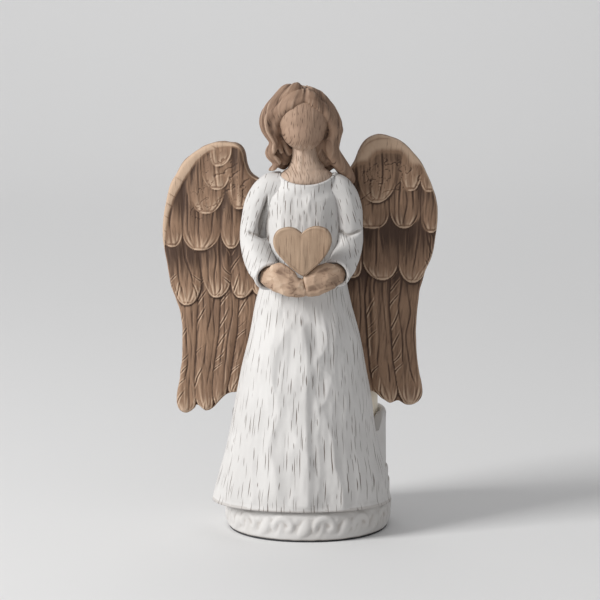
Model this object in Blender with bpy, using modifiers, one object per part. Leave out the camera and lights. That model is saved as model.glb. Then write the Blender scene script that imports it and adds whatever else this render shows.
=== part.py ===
"""Winged figurine with a candle cup behind its skirt and a battery candle.

Metres, +Z up, the figure faces -Y.  Sizes below are in millimetres.
"""
import math

import bmesh
import bpy
from mathutils import Matrix
from mathutils import Vector

MM = 0.001

# Clearance kept between pieces that touch.
GAP = 0.3

# Points closer than this are one point, in metres.
WELD = 0.000004

# Stand.
FELT_TOP = 1.0
FELT_HALF_X = 31.5
FELT_HALF_Y = 38.5
BASE_BOTTOM = 1.3
BASE_TOP = 12.0
BASE_HALF_X = 33.2
BASE_HALF_Y = 40.0
BASE_EDGE = 1.0
OVAL_POWER = 2.15
OVAL_STEPS = 48

# Candle cup, turned about a vertical axis behind the figure.
CUP_Y = 7.3
CUP_RADIUS = 31.5
CUP_BEAD_RADIUS = 32.4
CUP_FOOT_RADIUS = 33.0
CUP_FOOT_TOP = 17.2
CUP_BEAD_TOP = 22.2
CUP_BOTTOM = 12.3
CUP_RIM = 46.5
CUP_WALL_INNER = 28.5
CUP_FLOOR = 35.0
CUP_FLOOR_UNDER = 31.0
CUP_HOLLOW = 28.6
CUP_STEPS = 48

# Side view (y, z) of what is cut from the front of the rim.
RIM_DIP_OUTLINE = (
    (-40.0, 39.4),
    (-5.4, 39.4),
    (-1.2, 45.6),
    (-0.4, 48.0),
    (-40.0, 48.0),
)

# Candle.
CANDLE_BOTTOM = 35.3
CANDLE_TOP = 59.0
CANDLE_RADIUS = 28.0
CANDLE_WALL = 1.6
CANDLE_LIFT = 13.0
CANDLE_STEPS = 48
NICHE_RADIUS = 29.0
NICHE_TOP = 75.0
WICK_HOLE = 3.6
FLAME_TOP = 76.0
BOSS_X = 19.6
BOSS_Y = CUP_Y + 4.3
BOSS_RADIUS = 2.6
BOSS_TOP = 56.8
PILOT_RADIUS = 1.4
PILOT_TOP = 47.5
PLATE_RADIUS = 26.1
PLATE_BOTTOM = 35.8
PLATE_TOP = 38.4
CHAMBER_INNER = 14.4
CHAMBER_OUTER = 15.9
CHAMBER_CEILING = 43.2
CHAMBER_TOP = 44.7
DOOR_HOLE = 12.9
LIP_TOP = 37.4
DOOR_RADIUS = 12.6
DOOR_BOTTOM = 36.0
DOOR_TOP = 38.7
LUG_REACH = 14.1
LUG_BOTTOM = 37.7
LUG_WIDTH = 5.0
LUG_SLOT_ANGLE = 50.0
DOOR_TURN = 25.0
BATTERY_RADIUS = 10.0
BATTERY_BOTTOM = 39.0
BATTERY_TOP = 42.2
BOARD_SIZE = (16.0, 12.0)
BOARD_BOTTOM = 45.0
BOARD_TOP = 46.0
LED_RADIUS = 1.5
LED_TOP = 52.6
SCREW_HEAD_RADIUS = 2.2
SCREW_HEAD_BOTTOM = 36.0
SCREW_HEAD_TOP = 37.1
SCREW_RADIUS = 1.1
SCREW_TOP = 46.0
SWITCH_Y = -20.0
SWITCH_TRAVEL = 3.0
SWITCH_STEM = (4.0, 2.6)
SWITCH_FLANGE = (6.0, 4.6)

# Dress sections: height, left x, right x, front y, widest y, back y.
DRESS_RINGS = (
    (12.3, -38.2, 34.2, -41.0, -12.0, 2.0),
    (15.4, -37.7, 33.6, -40.8, -12.0, 2.0),
    (22.9, -35.7, 32.4, -40.0, -12.0, 2.0),
    (32.5, -33.0, 29.8, -38.6, -12.5, 1.6),
    (42.0, -30.9, 27.7, -37.4, -13.0, 1.0),
    (54.8, -28.5, 26.1, -36.0, -14.5, -1.0),
    (66.4, -26.2, 24.0, -35.0, -16.2, -3.2),
    (79.8, -22.8, 21.6, -34.0, -18.6, -6.2),
    (93.2, -20.2, 18.1, -33.0, -20.6, -8.6),
    (104.0, -17.4, 16.0, -32.4, -21.0, -8.6),
    (116.0, -15.4, 14.8, -32.0, -21.0, -8.6),
    (128.0, -15.4, 14.6, -31.6, -21.0, -8.6),
    (137.0, -15.6, 14.6, -31.2, -21.0, -8.6),
    (142.0, -14.6, 13.8, -30.6, -20.8, -9.4),
    (145.0, -12.6, 12.0, -29.4, -20.4, -10.6),
    (146.4, -9.6, 9.2, -27.0, -20.0, -13.0),
)
DRESS_STEPS = 48
DRESS_POWER = 2.1

# Head, neck and the bare yoke of the chest.
HEAD_CENTRE = (-1.4, -19.6, 166.2)
HEAD_HALF = (10.6, 11.6, 11.6)
NECK_X = -0.6
NECK_Y = -20.4
YOKE_DEPTH = 0.9
YOKE_PROFILE = (
    (0.0, 160.0),
    (4.7, 160.0),
    (4.9, 152.0),
    (6.4, 149.6),
    (9.4, 147.6),
    (11.4, 146.4),
    (11.9, 144.6),
    (11.0, 142.6),
    (7.0, 141.0),
    (7.0, 137.5),
    (0.0, 137.5),
)

# Hair sections, in the same order as the dress sections.
HAIR_RINGS = (
    (142.4, -11.0, 19.6, -15.5, -11.0, -5.8),
    (145.6, -16.0, 18.6, -22.0, -15.0, -4.6),
    (148.6, -14.8, 16.2, -26.0, -17.5, -4.0),
    (152.0, -16.2, 13.8, -29.0, -18.5, -4.0),
    (156.0, -15.2, 12.8, -31.0, -19.0, -4.2),
    (160.0, -17.2, 14.0, -32.2, -19.0, -4.0),
    (163.6, -17.8, 14.6, -33.0, -19.0, -3.8),
    (169.0, -15.6, 11.9, -33.2, -19.0, -4.2),
    (173.4, -13.4, 9.2, -31.6, -19.0, -6.0),
    (177.2, -10.6, 6.2, -28.6, -19.0, -9.0),
    (179.8, -7.0, 2.4, -24.8, -19.0, -13.0),
    (180.9, -4.4, -0.4, -21.6, -19.0, -16.4),
)
HAIR_STEPS = 36
FACE_OPENING = (
    (-1.0, 175.2),
    (-6.4, 172.4),
    (-10.0, 167.0),
    (-10.6, 160.0),
    (-9.6, 152.0),
    (-10.4, 140.0),
    (10.6, 140.0),
    (9.0, 152.0),
    (8.4, 160.0),
    (7.9, 166.0),
    (5.2, 171.6),
)
FACE_OPENING_BACK = -21.0

# Middle of the block that keeps the hair in front of the left wing.
HAIR_WING_ROOM = (22.4, -2.9, 138.0)

# Sleeves as (x, y, z, radius) along the arm; the cuff comes last.
RIGHT_SLEEVE_PATH = (
    (-8.6, -19.8, 138.6, 6.8),
    (-14.3, -20.0, 137.9, 7.4),
    (-18.2, -20.6, 132.0, 6.8),
    (-20.3, -21.2, 121.0, 6.3),
    (-19.4, -24.6, 113.2, 7.0),
    (-17.4, -31.0, 107.4, 7.3),
    (-14.8, -37.6, 105.2, 7.0),
)
LEFT_SLEEVE_PATH = (
    (7.8, -19.8, 138.2, 6.6),
    (12.9, -20.0, 137.4, 7.2),
    (16.1, -20.6, 131.6, 6.5),
    (17.3, -21.2, 120.8, 6.0),
    (17.0, -24.6, 114.0, 6.6),
    (15.9, -31.0, 108.8, 6.9),
    (13.9, -37.6, 106.6, 6.7),
)
SLEEVE_STEPS = 18
CUFF_DEPTH = 5.0
CUFF_WALL = 1.3

# Hands as (x, y, z, half width, half height) from the wrist outwards.
RIGHT_HAND_PATH = (
    (-15.6, -35.6, 105.8, 3.0, 3.4),
    (-12.4, -39.6, 104.8, 3.4, 4.4),
    (-7.4, -42.6, 103.2, 2.8, 5.2),
    (-1.6, -44.2, 101.2, 2.5, 3.9),
    (3.2, -44.6, 100.0, 1.9, 2.6),
    (5.0, -44.4, 99.6, 0.9, 1.3),
)
LEFT_HAND_PATH = (
    (14.8, -35.6, 107.2, 2.9, 3.3),
    (12.0, -39.2, 105.8, 3.3, 4.4),
    (8.0, -41.6, 104.6, 2.8, 5.2),
    (3.8, -42.4, 103.0, 2.4, 4.3),
    (0.6, -42.2, 102.2, 1.3, 2.0),
)
HAND_STEPS = 14

# Heart outline (x, z), its thickness and its middle plane.
HEART_OUTLINE = (
    (-0.5, 122.8),
    (1.6, 124.8),
    (5.0, 125.6),
    (8.6, 124.2),
    (10.6, 120.4),
    (10.0, 116.6),
    (7.0, 112.2),
    (0.6, 106.6),
    (-7.4, 112.4),
    (-11.0, 116.8),
    (-11.8, 120.6),
    (-10.4, 124.0),
    (-7.6, 125.2),
    (-3.6, 124.8),
)
HEART_Y = -43.4
HEART_HALF = 3.0
HEART_EDGE = 0.9

# Wing outlines (x, z) before the sweep, thickness and edge rounding.
RIGHT_WING_OUTLINE = (
    (-2.6, 134.0),
    (-13.0, 138.6),
    (-21.6, 142.6),
    (-24.2, 147.0),
    (-25.4, 152.4),
    (-27.4, 155.0),
    (-30.4, 155.9),
    (-37.4, 155.8),
    (-44.9, 152.3),
    (-50.1, 147.8),
    (-53.4, 142.6),
    (-55.8, 138.2),
    (-57.3, 132.2),
    (-58.4, 126.2),
    (-58.9, 120.0),
    (-58.6, 113.6),
    (-57.5, 107.4),
    (-56.0, 98.4),
    (-53.2, 90.4),
    (-51.6, 84.6),
    (-51.2, 78.1),
    (-51.6, 65.2),
    (-53.6, 52.4),
    (-53.0, 47.4),
    (-50.0, 45.4),
    (-46.8, 47.0),
    (-45.2, 48.8),
    (-41.6, 46.6),
    (-38.4, 48.2),
    (-34.4, 52.4),
    (-31.4, 54.2),
    (-28.6, 54.6),
    (-25.2, 57.4),
    (-22.6, 63.0),
    (-21.2, 70.0),
    (-19.2, 75.2),
    (-17.2, 80.0),
    (-14.6, 88.0),
    (-10.0, 96.0),
    (-2.6, 102.0),
)
LEFT_WING_OUTLINE = (
    (1.8, 134.0),
    (11.0, 139.0),
    (17.8, 147.2),
    (20.0, 152.2),
    (22.8, 156.6),
    (26.4, 158.8),
    (30.6, 158.9),
    (36.4, 157.0),
    (40.9, 153.5),
    (45.4, 148.0),
    (49.1, 140.7),
    (51.6, 132.7),
    (52.2, 126.4),
    (51.6, 118.8),
    (50.0, 110.3),
    (47.2, 103.6),
    (45.4, 97.2),
    (44.4, 90.8),
    (43.9, 82.6),
    (44.0, 72.8),
    (45.0, 64.5),
    (46.3, 56.9),
    (46.0, 52.6),
    (43.6, 50.2),
    (40.0, 49.8),
    (36.6, 51.6),
    (33.2, 50.6),
    (30.4, 52.0),
    (27.6, 54.6),
    (24.4, 57.6),
    (21.8, 63.0),
    (20.6, 70.0),
    (18.8, 75.2),
    (17.2, 80.0),
    (14.6, 88.0),
    (9.4, 96.0),
    (1.8, 102.0),
)
WING_Y = -5.9
WING_HALF = 2.7
WING_EDGE = 1.2
WING_SWEEP = 7.0
WING_HINGE_X = 20.0

# Room kept free in the wings for lifting the candle out.
LIFT_ROOM_RADIUS = 28.7
LIFT_ROOM_TOP = 73.2

# Dowels that hold each wing to the back of the dress: (x, z).
RIGHT_DOWELS = (("upper", -6.8, 127.0), ("lower", -6.8, 111.0))
LEFT_DOWELS = (("upper", 6.0, 127.0), ("lower", 6.0, 111.0))
DOWEL_RADIUS = 1.2
DOWEL_FRONT = -13.6
DOWEL_BACK = -4.6
DOWEL_STEPS = 14

PARTS = "resin_angel_figurine"
CUTTERS = "cutters"


def clear_scene():
    """Empty the file of objects, meshes and collections."""
    for thing in list(bpy.data.objects):
        bpy.data.objects.remove(thing, do_unlink=True)
    for group in list(bpy.data.collections):
        bpy.data.collections.remove(group)
    for name in (PARTS, CUTTERS):
        group = bpy.data.collections.new(name)
        bpy.context.scene.collection.children.link(group)
    bpy.context.scene.unit_settings.system = "METRIC"
    bpy.context.scene.unit_settings.scale_length = 1.0


def finish(name, colour, roughness, metallic=0.0):
    """Make a material with a Principled BSDF."""
    made = bpy.data.materials.new(name)
    made.use_nodes = True
    shader = made.node_tree.nodes["Principled BSDF"]
    shader.inputs["Base Color"].default_value = (*colour, 1.0)
    shader.inputs["Roughness"].default_value = roughness
    shader.inputs["Metallic"].default_value = metallic
    made.diffuse_color = (*colour, 1.0)
    return made


def add_object(name, mesh, cutter=False, smooth=True):
    """Put a mesh into the parts or the cutters collection."""
    made = bpy.data.objects.new(name, mesh)
    group = bpy.data.collections[CUTTERS if cutter else PARTS]
    group.objects.link(made)
    if cutter:
        made.hide_render = True
        made.display_type = "WIRE"
    for face in mesh.polygons:
        face.use_smooth = smooth
    return made


def tidy_mesh(mesh):
    """Merge stray doubles and turn every face outwards."""
    work = bmesh.new()
    work.from_mesh(mesh)
    bmesh.ops.remove_doubles(work, verts=work.verts, dist=0.00001)
    bmesh.ops.recalc_face_normals(work, faces=work.faces)
    work.to_mesh(mesh)
    work.free()
    mesh.update()
    return mesh


def oval(half_x, half_y, z, steps, power):
    """Points of a soft-cornered oval, all at one height."""
    ring = []
    for step in range(steps):
        angle = 2.0 * math.pi * step / steps
        c = math.cos(angle)
        s = math.sin(angle)
        x = half_x * math.copysign(abs(c) ** (2.0 / power), c)
        y = half_y * math.copysign(abs(s) ** (2.0 / power), s)
        ring.append(Vector((x, y, z)) * MM)
    return ring


def body_ring(row, steps, power, grow):
    """One cross-section of the dress or the hair, widened by grow."""
    z, left, right, front, widest, back = row
    middle = (left + right) / 2.0
    half = (right - left) / 2.0 + grow
    ring = []
    for step in range(steps):
        angle = 2.0 * math.pi * step / steps
        c = math.cos(angle)
        s = math.sin(angle)
        reach = (back - widest if s > 0.0 else widest - front) + grow
        x = middle + half * math.copysign(abs(c) ** (2.0 / power), c)
        y = widest + reach * math.copysign(abs(s) ** (2.0 / power), s)
        ring.append(Vector((x, y, z)) * MM)
    return ring


def loft(name, rings, cutter=False, smooth=True):
    """Join unlike sections with faces and close both ends."""
    steps = len(rings[0])
    points = [point for ring in rings for point in ring]
    faces = []
    for level in range(len(rings) - 1):
        low = level * steps
        high = low + steps
        for step in range(steps):
            after = (step + 1) % steps
            faces.append((low + step, low + after, high + after, high + step))
    faces.append(tuple(reversed(range(steps))))
    last = (len(rings) - 1) * steps
    faces.append(tuple(range(last, last + steps)))
    mesh = bpy.data.meshes.new(name)
    mesh.from_pydata(points, [], faces)
    tidy_mesh(mesh)
    return add_object(name, mesh, cutter, smooth)


def turned(name, profile, x, y, steps, closed=False, cutter=False):
    """Turn a profile of (radius, height) about a vertical axis."""
    mesh = bpy.data.meshes.new(name)
    points = [(radius * MM, 0.0, height * MM) for radius, height in profile]
    edges = [(index, index + 1) for index in range(len(points) - 1)]
    if closed:
        edges.append((len(points) - 1, 0))
    mesh.from_pydata(points, edges, [])
    source = add_object(name + "_profile", mesh, cutter=True)
    screw = source.modifiers.new("turn", "SCREW")
    screw.steps = steps
    screw.render_steps = steps
    screw.use_merge_vertices = True
    screw.merge_threshold = 0.00001
    bpy.context.view_layer.update()
    graph = bpy.context.evaluated_depsgraph_get()
    solid = bpy.data.meshes.new_from_object(source.evaluated_get(graph))
    bpy.data.objects.remove(source, do_unlink=True)
    solid.name = name
    tidy_mesh(solid)
    made = add_object(name, solid, cutter)
    made.location = (x * MM, y * MM, 0.0)
    return made


def rod(name, radius, low, high, x, y, steps=16, cutter=False):
    """A plain upright cylinder between two heights."""
    profile = ((0.0, high), (radius, high), (radius, low), (0.0, low))
    return turned(name, profile, x, y, steps, False, cutter)


def block(name, size, centre, cutter=False):
    """A rectangular block, sizes and centre in millimetres."""
    work = bmesh.new()
    bmesh.ops.create_cube(work, size=1.0)
    scale = Matrix.Diagonal((size[0] * MM, size[1] * MM, size[2] * MM, 1.0))
    work.transform(scale)
    mesh = bpy.data.meshes.new(name)
    work.to_mesh(mesh)
    work.free()
    made = add_object(name, mesh, cutter, smooth=False)
    made.location = Vector(centre) * MM
    return made


def ball(name, half, centre, steps, cutter=False):
    """An ellipsoid with the given half sizes."""
    work = bmesh.new()
    bmesh.ops.create_uvsphere(work, u_segments=steps, v_segments=steps // 2, radius=1.0)
    work.transform(Matrix.Diagonal((half[0] * MM, half[1] * MM, half[2] * MM, 1.0)))
    mesh = bpy.data.meshes.new(name)
    work.to_mesh(mesh)
    work.free()
    made = add_object(name, mesh, cutter)
    made.location = Vector(centre) * MM
    return made


def slab(name, outline, half, edge, grow=0.0, cutter=False):
    """Fill a flat outline in x and z and give it thickness and a soft edge."""
    curve = bpy.data.curves.new(name, "CURVE")
    curve.dimensions = "2D"
    curve.fill_mode = "BOTH"
    spline = curve.splines.new("POLY")
    spline.points.add(len(outline) - 1)
    for point, (x, z) in zip(spline.points, outline):
        point.co = (x * MM, z * MM, 0.0, 1.0)
    spline.use_cyclic_u = True
    curve.extrude = (half - edge) * MM
    curve.bevel_depth = edge * MM
    curve.bevel_resolution = 1
    curve.offset = (grow - edge) * MM
    source = bpy.data.objects.new(name, curve)
    bpy.data.collections[CUTTERS].objects.link(source)
    bpy.context.view_layer.update()
    graph = bpy.context.evaluated_depsgraph_get()
    mesh = bpy.data.meshes.new_from_object(source.evaluated_get(graph))
    bpy.data.objects.remove(source, do_unlink=True)
    mesh.transform(Matrix.Rotation(math.radians(90.0), 4, "X"))
    tidy_mesh(mesh)
    return add_object(name, mesh, cutter, smooth=False)


def tube(name, path, steps, grow=0.0, cutter=False):
    """A limb of changing radius along a path of (x, y, z, radius)."""
    centres = [Vector(row[:3]) for row in path]
    rings = []
    for index, row in enumerate(path):
        before = centres[max(index - 1, 0)]
        after = centres[min(index + 1, len(path) - 1)]
        along = (after - before).normalized()
        side = (Vector((1.0, 0.0, 0.0)) - along * along.x).normalized()
        up = along.cross(side)
        ring = []
        for step in range(steps):
            angle = 2.0 * math.pi * step / steps
            offset = side * math.cos(angle) + up * math.sin(angle)
            ring.append((centres[index] + offset * (row[3] + grow)) * MM)
        rings.append(ring)
    return loft(name, rings, cutter)


def palm(name, path, steps, grow=0.0, cutter=False):
    """A flattened hand along a path of (x, y, z, half width, half height)."""
    centres = [Vector(row[:3]) for row in path]
    rings = []
    for index, row in enumerate(path):
        before = centres[max(index - 1, 0)]
        after = centres[min(index + 1, len(path) - 1)]
        along = (after - before).normalized()
        up = (Vector((0.0, 0.0, 1.0)) - along * along.z).normalized()
        side = along.cross(up)
        ring = []
        for step in range(steps):
            angle = 2.0 * math.pi * step / steps
            wide = side * math.cos(angle) * (row[3] + grow)
            tall = up * math.sin(angle) * (row[4] + grow)
            ring.append((centres[index] + wide + tall) * MM)
        rings.append(ring)
    return loft(name, rings, cutter)


def combine(target, other, operation):
    """Run one exact boolean on target and keep the cutter out of sight."""
    change = target.modifiers.new(operation.lower(), "BOOLEAN")
    change.operation = operation
    change.solver = "EXACT"
    change.object = other


def cut(target, *cutters):
    """Take each cutter away from target."""
    for cutter in cutters:
        combine(target, cutter, "DIFFERENCE")


def join(target, *extras):
    """Add each extra solid to target."""
    for extra in extras:
        combine(target, extra, "UNION")


def paint(target, material):
    """Weld what the booleans left and give an object its only material."""
    if target.modifiers:
        weld = target.modifiers.new("weld", "WELD")
        weld.merge_threshold = WELD
    target.data.materials.clear()
    target.data.materials.append(material)


def make_felt(material):
    """The felt pad under the base."""
    rings = [oval(FELT_HALF_X, FELT_HALF_Y, z, OVAL_STEPS, OVAL_POWER) for z in (0.0, FELT_TOP)]
    made = loft("felt_pad", rings)
    paint(made, material)
    return made


def make_base(material):
    """The oval base with its edges broken."""
    rows = (
        (BASE_BOTTOM, BASE_EDGE),
        (BASE_BOTTOM + BASE_EDGE, 0.0),
        (BASE_TOP - BASE_EDGE, 0.0),
        (BASE_TOP, BASE_EDGE),
    )
    rings = []
    for z, inset in rows:
        half_x = BASE_HALF_X - inset
        half_y = BASE_HALF_Y - inset
        rings.append(oval(half_x, half_y, z, OVAL_STEPS, OVAL_POWER))
    made = loft("base_plinth", rings)
    paint(made, material)
    return made


def make_cup(material):
    """The turned cup that holds the candle."""
    profile = (
        (0.0, CUP_FLOOR),
        (CUP_WALL_INNER, CUP_FLOOR),
        (CUP_WALL_INNER, CUP_RIM - 1.6),
        (CUP_WALL_INNER + 0.6, CUP_RIM - 0.4),
        (CUP_WALL_INNER + 1.5, CUP_RIM),
        (CUP_RADIUS - 0.6, CUP_RIM - 0.4),
        (CUP_RADIUS, CUP_RIM - 1.6),
        (CUP_RADIUS, CUP_BEAD_TOP + 0.9),
        (CUP_BEAD_RADIUS, CUP_BEAD_TOP),
        (CUP_BEAD_RADIUS, CUP_FOOT_TOP + 0.6),
        (CUP_FOOT_RADIUS, CUP_FOOT_TOP),
        (CUP_FOOT_RADIUS, CUP_BOTTOM),
        (CUP_HOLLOW, CUP_BOTTOM),
        (CUP_HOLLOW, CUP_FLOOR_UNDER),
        (0.0, CUP_FLOOR_UNDER),
    )
    made = turned("candle_cup", profile, 0.0, CUP_Y, CUP_STEPS)
    dip = slab("rim_dip_cutter", RIM_DIP_OUTLINE, 40.0, 0.0, cutter=True)
    dip.rotation_euler = (0.0, 0.0, math.radians(90.0))
    cut(made, dip)
    paint(made, material)
    return made


def cup_cutter():
    """Room for the cup and for lifting the candle out of it."""
    profile = (
        (0.0, NICHE_TOP),
        (NICHE_RADIUS - 9.0, NICHE_TOP),
        (NICHE_RADIUS - 3.0, NICHE_TOP - 0.8),
        (NICHE_RADIUS, NICHE_TOP - 2.6),
        (NICHE_RADIUS, CUP_RIM + GAP),
        (CUP_RADIUS + GAP, CUP_RIM + GAP),
        (CUP_RADIUS + GAP, CUP_BEAD_TOP + 0.9 + GAP),
        (CUP_BEAD_RADIUS + GAP, CUP_BEAD_TOP + GAP),
        (CUP_BEAD_RADIUS + GAP, CUP_FOOT_TOP + 0.6 + GAP),
        (CUP_FOOT_RADIUS + GAP, CUP_FOOT_TOP + GAP),
        (CUP_FOOT_RADIUS + GAP, BASE_TOP - 2.0),
        (0.0, BASE_TOP - 2.0),
    )
    return turned("cup_room_cutter", profile, 0.0, CUP_Y, CUP_STEPS, cutter=True)


def dress_body(name, grow, cutter=False):
    """The lofted skirt and bodice, widened by grow."""
    rings = [body_ring(row, DRESS_STEPS, DRESS_POWER, grow) for row in DRESS_RINGS]
    if grow > 0.0:
        lift = Vector((0.0, 0.0, grow * MM))
        rings[-1] = [point + lift for point in rings[-1]]
        rings[0] = [point - lift for point in rings[0]]
    return loft(name, rings, cutter)


def dowel_hole(name, x, z):
    """Socket for one wing dowel, a little longer than the dowel."""
    length = DOWEL_BACK - DOWEL_FRONT + 2.0 * GAP
    made = rod(name, DOWEL_RADIUS + GAP, 0.0, length, 0.0, 0.0, DOWEL_STEPS, cutter=True)
    made.rotation_euler = (math.radians(-90.0), 0.0, 0.0)
    made.location = Vector((x, DOWEL_FRONT - GAP, z)) * MM
    return made


def make_dress(material, yoke_room, holes):
    """Skirt and bodice with the candle niche, neck opening and sockets."""
    made = dress_body("dress", 0.0)
    cut(made, cup_cutter(), yoke_room, *holes)
    paint(made, material)
    return made


def yoke_solid(name, grow, cutter=False):
    """Neck and chest yoke, widened by grow."""
    rows = []
    for radius, z in YOKE_PROFILE:
        wide = radius + grow if radius > 0.0 else 0.0
        rows.append((wide, z))
    if grow > 0.0:
        rows[-1] = (0.0, rows[-1][1] - grow)
        rows[-2] = (rows[-2][0], rows[-2][1] - grow)
    made = turned(name, rows, NECK_X, NECK_Y, 32, cutter=cutter)
    made.scale = (1.0, YOKE_DEPTH, 1.0)
    return made


def make_head(material):
    """Blank face and skull joined to the neck and yoke."""
    made = yoke_solid("head", 0.0)
    join(made, ball("skull_union", HEAD_HALF, HEAD_CENTRE, 24, cutter=True))
    paint(made, material)
    return made


def make_hair(material, rooms):
    """Hair round the head, open over the face and the neck."""
    rings = [body_ring(row, HAIR_STEPS, 2.0, 0.0) for row in HAIR_RINGS]
    made = loft("hair", rings)
    opening = slab("face_opening_cutter", FACE_OPENING, 14.0, 0.0, cutter=True)
    opening.location = Vector((0.0, FACE_OPENING_BACK - 14.0, 0.0)) * MM
    grown = [half + GAP for half in HEAD_HALF]
    skull = ball("skull_room_cutter", grown, HEAD_CENTRE, 24, cutter=True)
    wing_room = block("hair_wing_cutter", (18.0, 12.0, 26.0), HAIR_WING_ROOM, cutter=True)
    cut(made, opening, skull, wing_room, *rooms)
    paint(made, material)
    return made


def cuff_pocket(name, path):
    """Hollow of the open cuff, a short plug along the last stretch."""
    end = Vector(path[-1][:3])
    start = Vector(path[-2][:3])
    along = (end - start).normalized()
    radius = path[-1][3] - CUFF_WALL
    inner = end - along * CUFF_DEPTH
    outer = end + along * 3.0
    rows = ((*inner, radius - 0.8), (*outer, radius))
    return tube(name, rows, SLEEVE_STEPS, cutter=True)


def make_sleeve(name, path, material, dress_room):
    """One sleeve from shoulder to cuff, fitted against the dress."""
    made = tube(name, path, SLEEVE_STEPS)
    cut(made, dress_room, cuff_pocket(name + "_pocket_cutter", path))
    paint(made, material)
    return made


def make_hand(name, path, material, rooms):
    """One hand reaching out of its cuff."""
    made = palm(name, path, HAND_STEPS)
    cut(made, *rooms)
    paint(made, material)
    return made


def make_heart(material):
    """The heart held in both hands."""
    made = slab("heart", HEART_OUTLINE, HEART_HALF, HEART_EDGE)
    made.location = (0.0, HEART_Y * MM, 0.0)
    paint(made, material)
    return made


def heart_cutter():
    """Room for the heart between the hands."""
    made = slab("heart_room_cutter", HEART_OUTLINE, HEART_HALF + GAP, 0.0, GAP, cutter=True)
    made.location = (0.0, HEART_Y * MM, 0.0)
    return made


def make_wing(name, outline, side, material, dress_room, rooms):
    """One wing slab swept back from the shoulders."""
    made = slab(name, outline, WING_HALF, WING_EDGE)
    hinge = Vector((side * WING_HINGE_X, 0.0, 0.0)) * MM
    turn = Matrix.Rotation(math.radians(side * WING_SWEEP), 4, "Z")
    inner = made.data
    for vertex in inner.vertices:
        if vertex.co.x * side > WING_HINGE_X * MM:
            vertex.co = turn @ (vertex.co - hinge) + hinge
    made.location = (0.0, WING_Y * MM, 0.0)
    lift_room = rod(name + "_lift_room", LIFT_ROOM_RADIUS, CUP_BOTTOM, LIFT_ROOM_TOP,
                    0.0, CUP_Y, 96, cutter=True)
    cut(made, dress_room, lift_room, *rooms)
    paint(made, material)
    return made


def make_dowel(name, x, z, material):
    """One dowel through the back of the dress into a wing."""
    length = DOWEL_BACK - DOWEL_FRONT
    made = rod(name, DOWEL_RADIUS, 0.0, length, 0.0, 0.0, DOWEL_STEPS)
    made.rotation_euler = (math.radians(-90.0), 0.0, 0.0)
    made.location = Vector((x, DOWEL_FRONT, z)) * MM
    paint(made, material)
    return made


def make_candle_shell(material):
    """Hollow candle body with two screw bosses under its top."""
    inner = CANDLE_RADIUS - CANDLE_WALL
    profile = (
        (WICK_HOLE, 56.6),
        (12.0, 57.0),
        (22.0, 57.8),
        (25.6, 59.0),
        (27.2, 58.8),
        (CANDLE_RADIUS, 57.6),
        (CANDLE_RADIUS, CANDLE_BOTTOM + 0.7),
        (CANDLE_RADIUS - 0.7, CANDLE_BOTTOM),
        (inner, CANDLE_BOTTOM),
        (inner, 56.6),
        (22.0, 56.0),
        (12.0, 55.2),
        (WICK_HOLE, 54.8),
    )
    made = turned("candle_shell", profile, 0.0, CUP_Y, CANDLE_STEPS, closed=True)
    boss_profile = (
        (0.0, BOSS_TOP),
        (BOSS_RADIUS, BOSS_TOP),
        (BOSS_RADIUS, PLATE_TOP + GAP),
        (PILOT_RADIUS, PLATE_TOP + GAP),
        (PILOT_RADIUS, PILOT_TOP),
        (0.0, PILOT_TOP),
    )
    for label, x in (("left", BOSS_X), ("right", -BOSS_X)):
        boss = turned("boss_union_" + label, boss_profile, x, BOSS_Y, 16, cutter=True)
        join(made, boss)
    paint(made, material)
    return made


def make_chassis(material):
    """Bottom plate with the battery chamber, door lip and switch slot."""
    profile = (
        (0.0, CHAMBER_TOP),
        (CHAMBER_OUTER, CHAMBER_TOP),
        (CHAMBER_OUTER, PLATE_TOP),
        (PLATE_RADIUS, PLATE_TOP),
        (PLATE_RADIUS, PLATE_BOTTOM),
        (DOOR_HOLE, PLATE_BOTTOM),
        (DOOR_HOLE, LIP_TOP),
        (CHAMBER_INNER, LIP_TOP),
        (CHAMBER_INNER, CHAMBER_CEILING),
        (0.0, CHAMBER_CEILING),
    )
    made = turned("candle_chassis", profile, 0.0, CUP_Y, CANDLE_STEPS)
    cut(made, lug_slots(), switch_slot())
    for label, x in (("left", BOSS_X), ("right", -BOSS_X)):
        head = rod("head_room_" + label, SCREW_HEAD_RADIUS + GAP, PLATE_BOTTOM - 1.0,
                   SCREW_HEAD_TOP + GAP, x, BOSS_Y, cutter=True)
        shank = rod("shank_room_" + label, SCREW_RADIUS + GAP, PLATE_BOTTOM - 1.0,
                    PLATE_TOP + 1.0, x, BOSS_Y, cutter=True)
        cut(made, head, shank)
    paint(made, material)
    return made


def lug_slots():
    """Two notches that let the door lugs pass the lip."""
    size = (2.0 * (LUG_REACH + GAP), LUG_WIDTH + 1.0, 3.0)
    centre = (0.0, CUP_Y, LIP_TOP - 1.4)
    made = block("lug_slot_cutter", size, centre, cutter=True)
    made.rotation_euler = (0.0, 0.0, math.radians(LUG_SLOT_ANGLE))
    return made


def switch_slot():
    """Slot in the plate for the switch stem."""
    length = SWITCH_STEM[0] + SWITCH_TRAVEL + 2.0 * GAP
    size = (length, SWITCH_STEM[1] + 2.0 * GAP, 8.0)
    centre = (SWITCH_TRAVEL / 2.0, CUP_Y + SWITCH_Y, PLATE_BOTTOM)
    return block("switch_slot_cutter", size, centre, cutter=True)


def make_flame(material):
    """Flame tip with a flange under the candle top and a pocket for the lamp."""
    profile = (
        (0.0, FLAME_TOP),
        (0.9, 74.4),
        (2.2, 71.6),
        (3.8, 68.0),
        (4.7, 64.4),
        (4.4, 61.0),
        (3.2, 58.4),
        (3.2, 54.5),
        (5.6, 54.5),
        (5.6, 53.3),
        (2.0, 53.3),
        (2.0, 56.5),
        (0.0, 57.5),
    )
    made = turned("flame_tip", profile, 0.0, CUP_Y, 24)
    paint(made, material)
    return made


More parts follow.
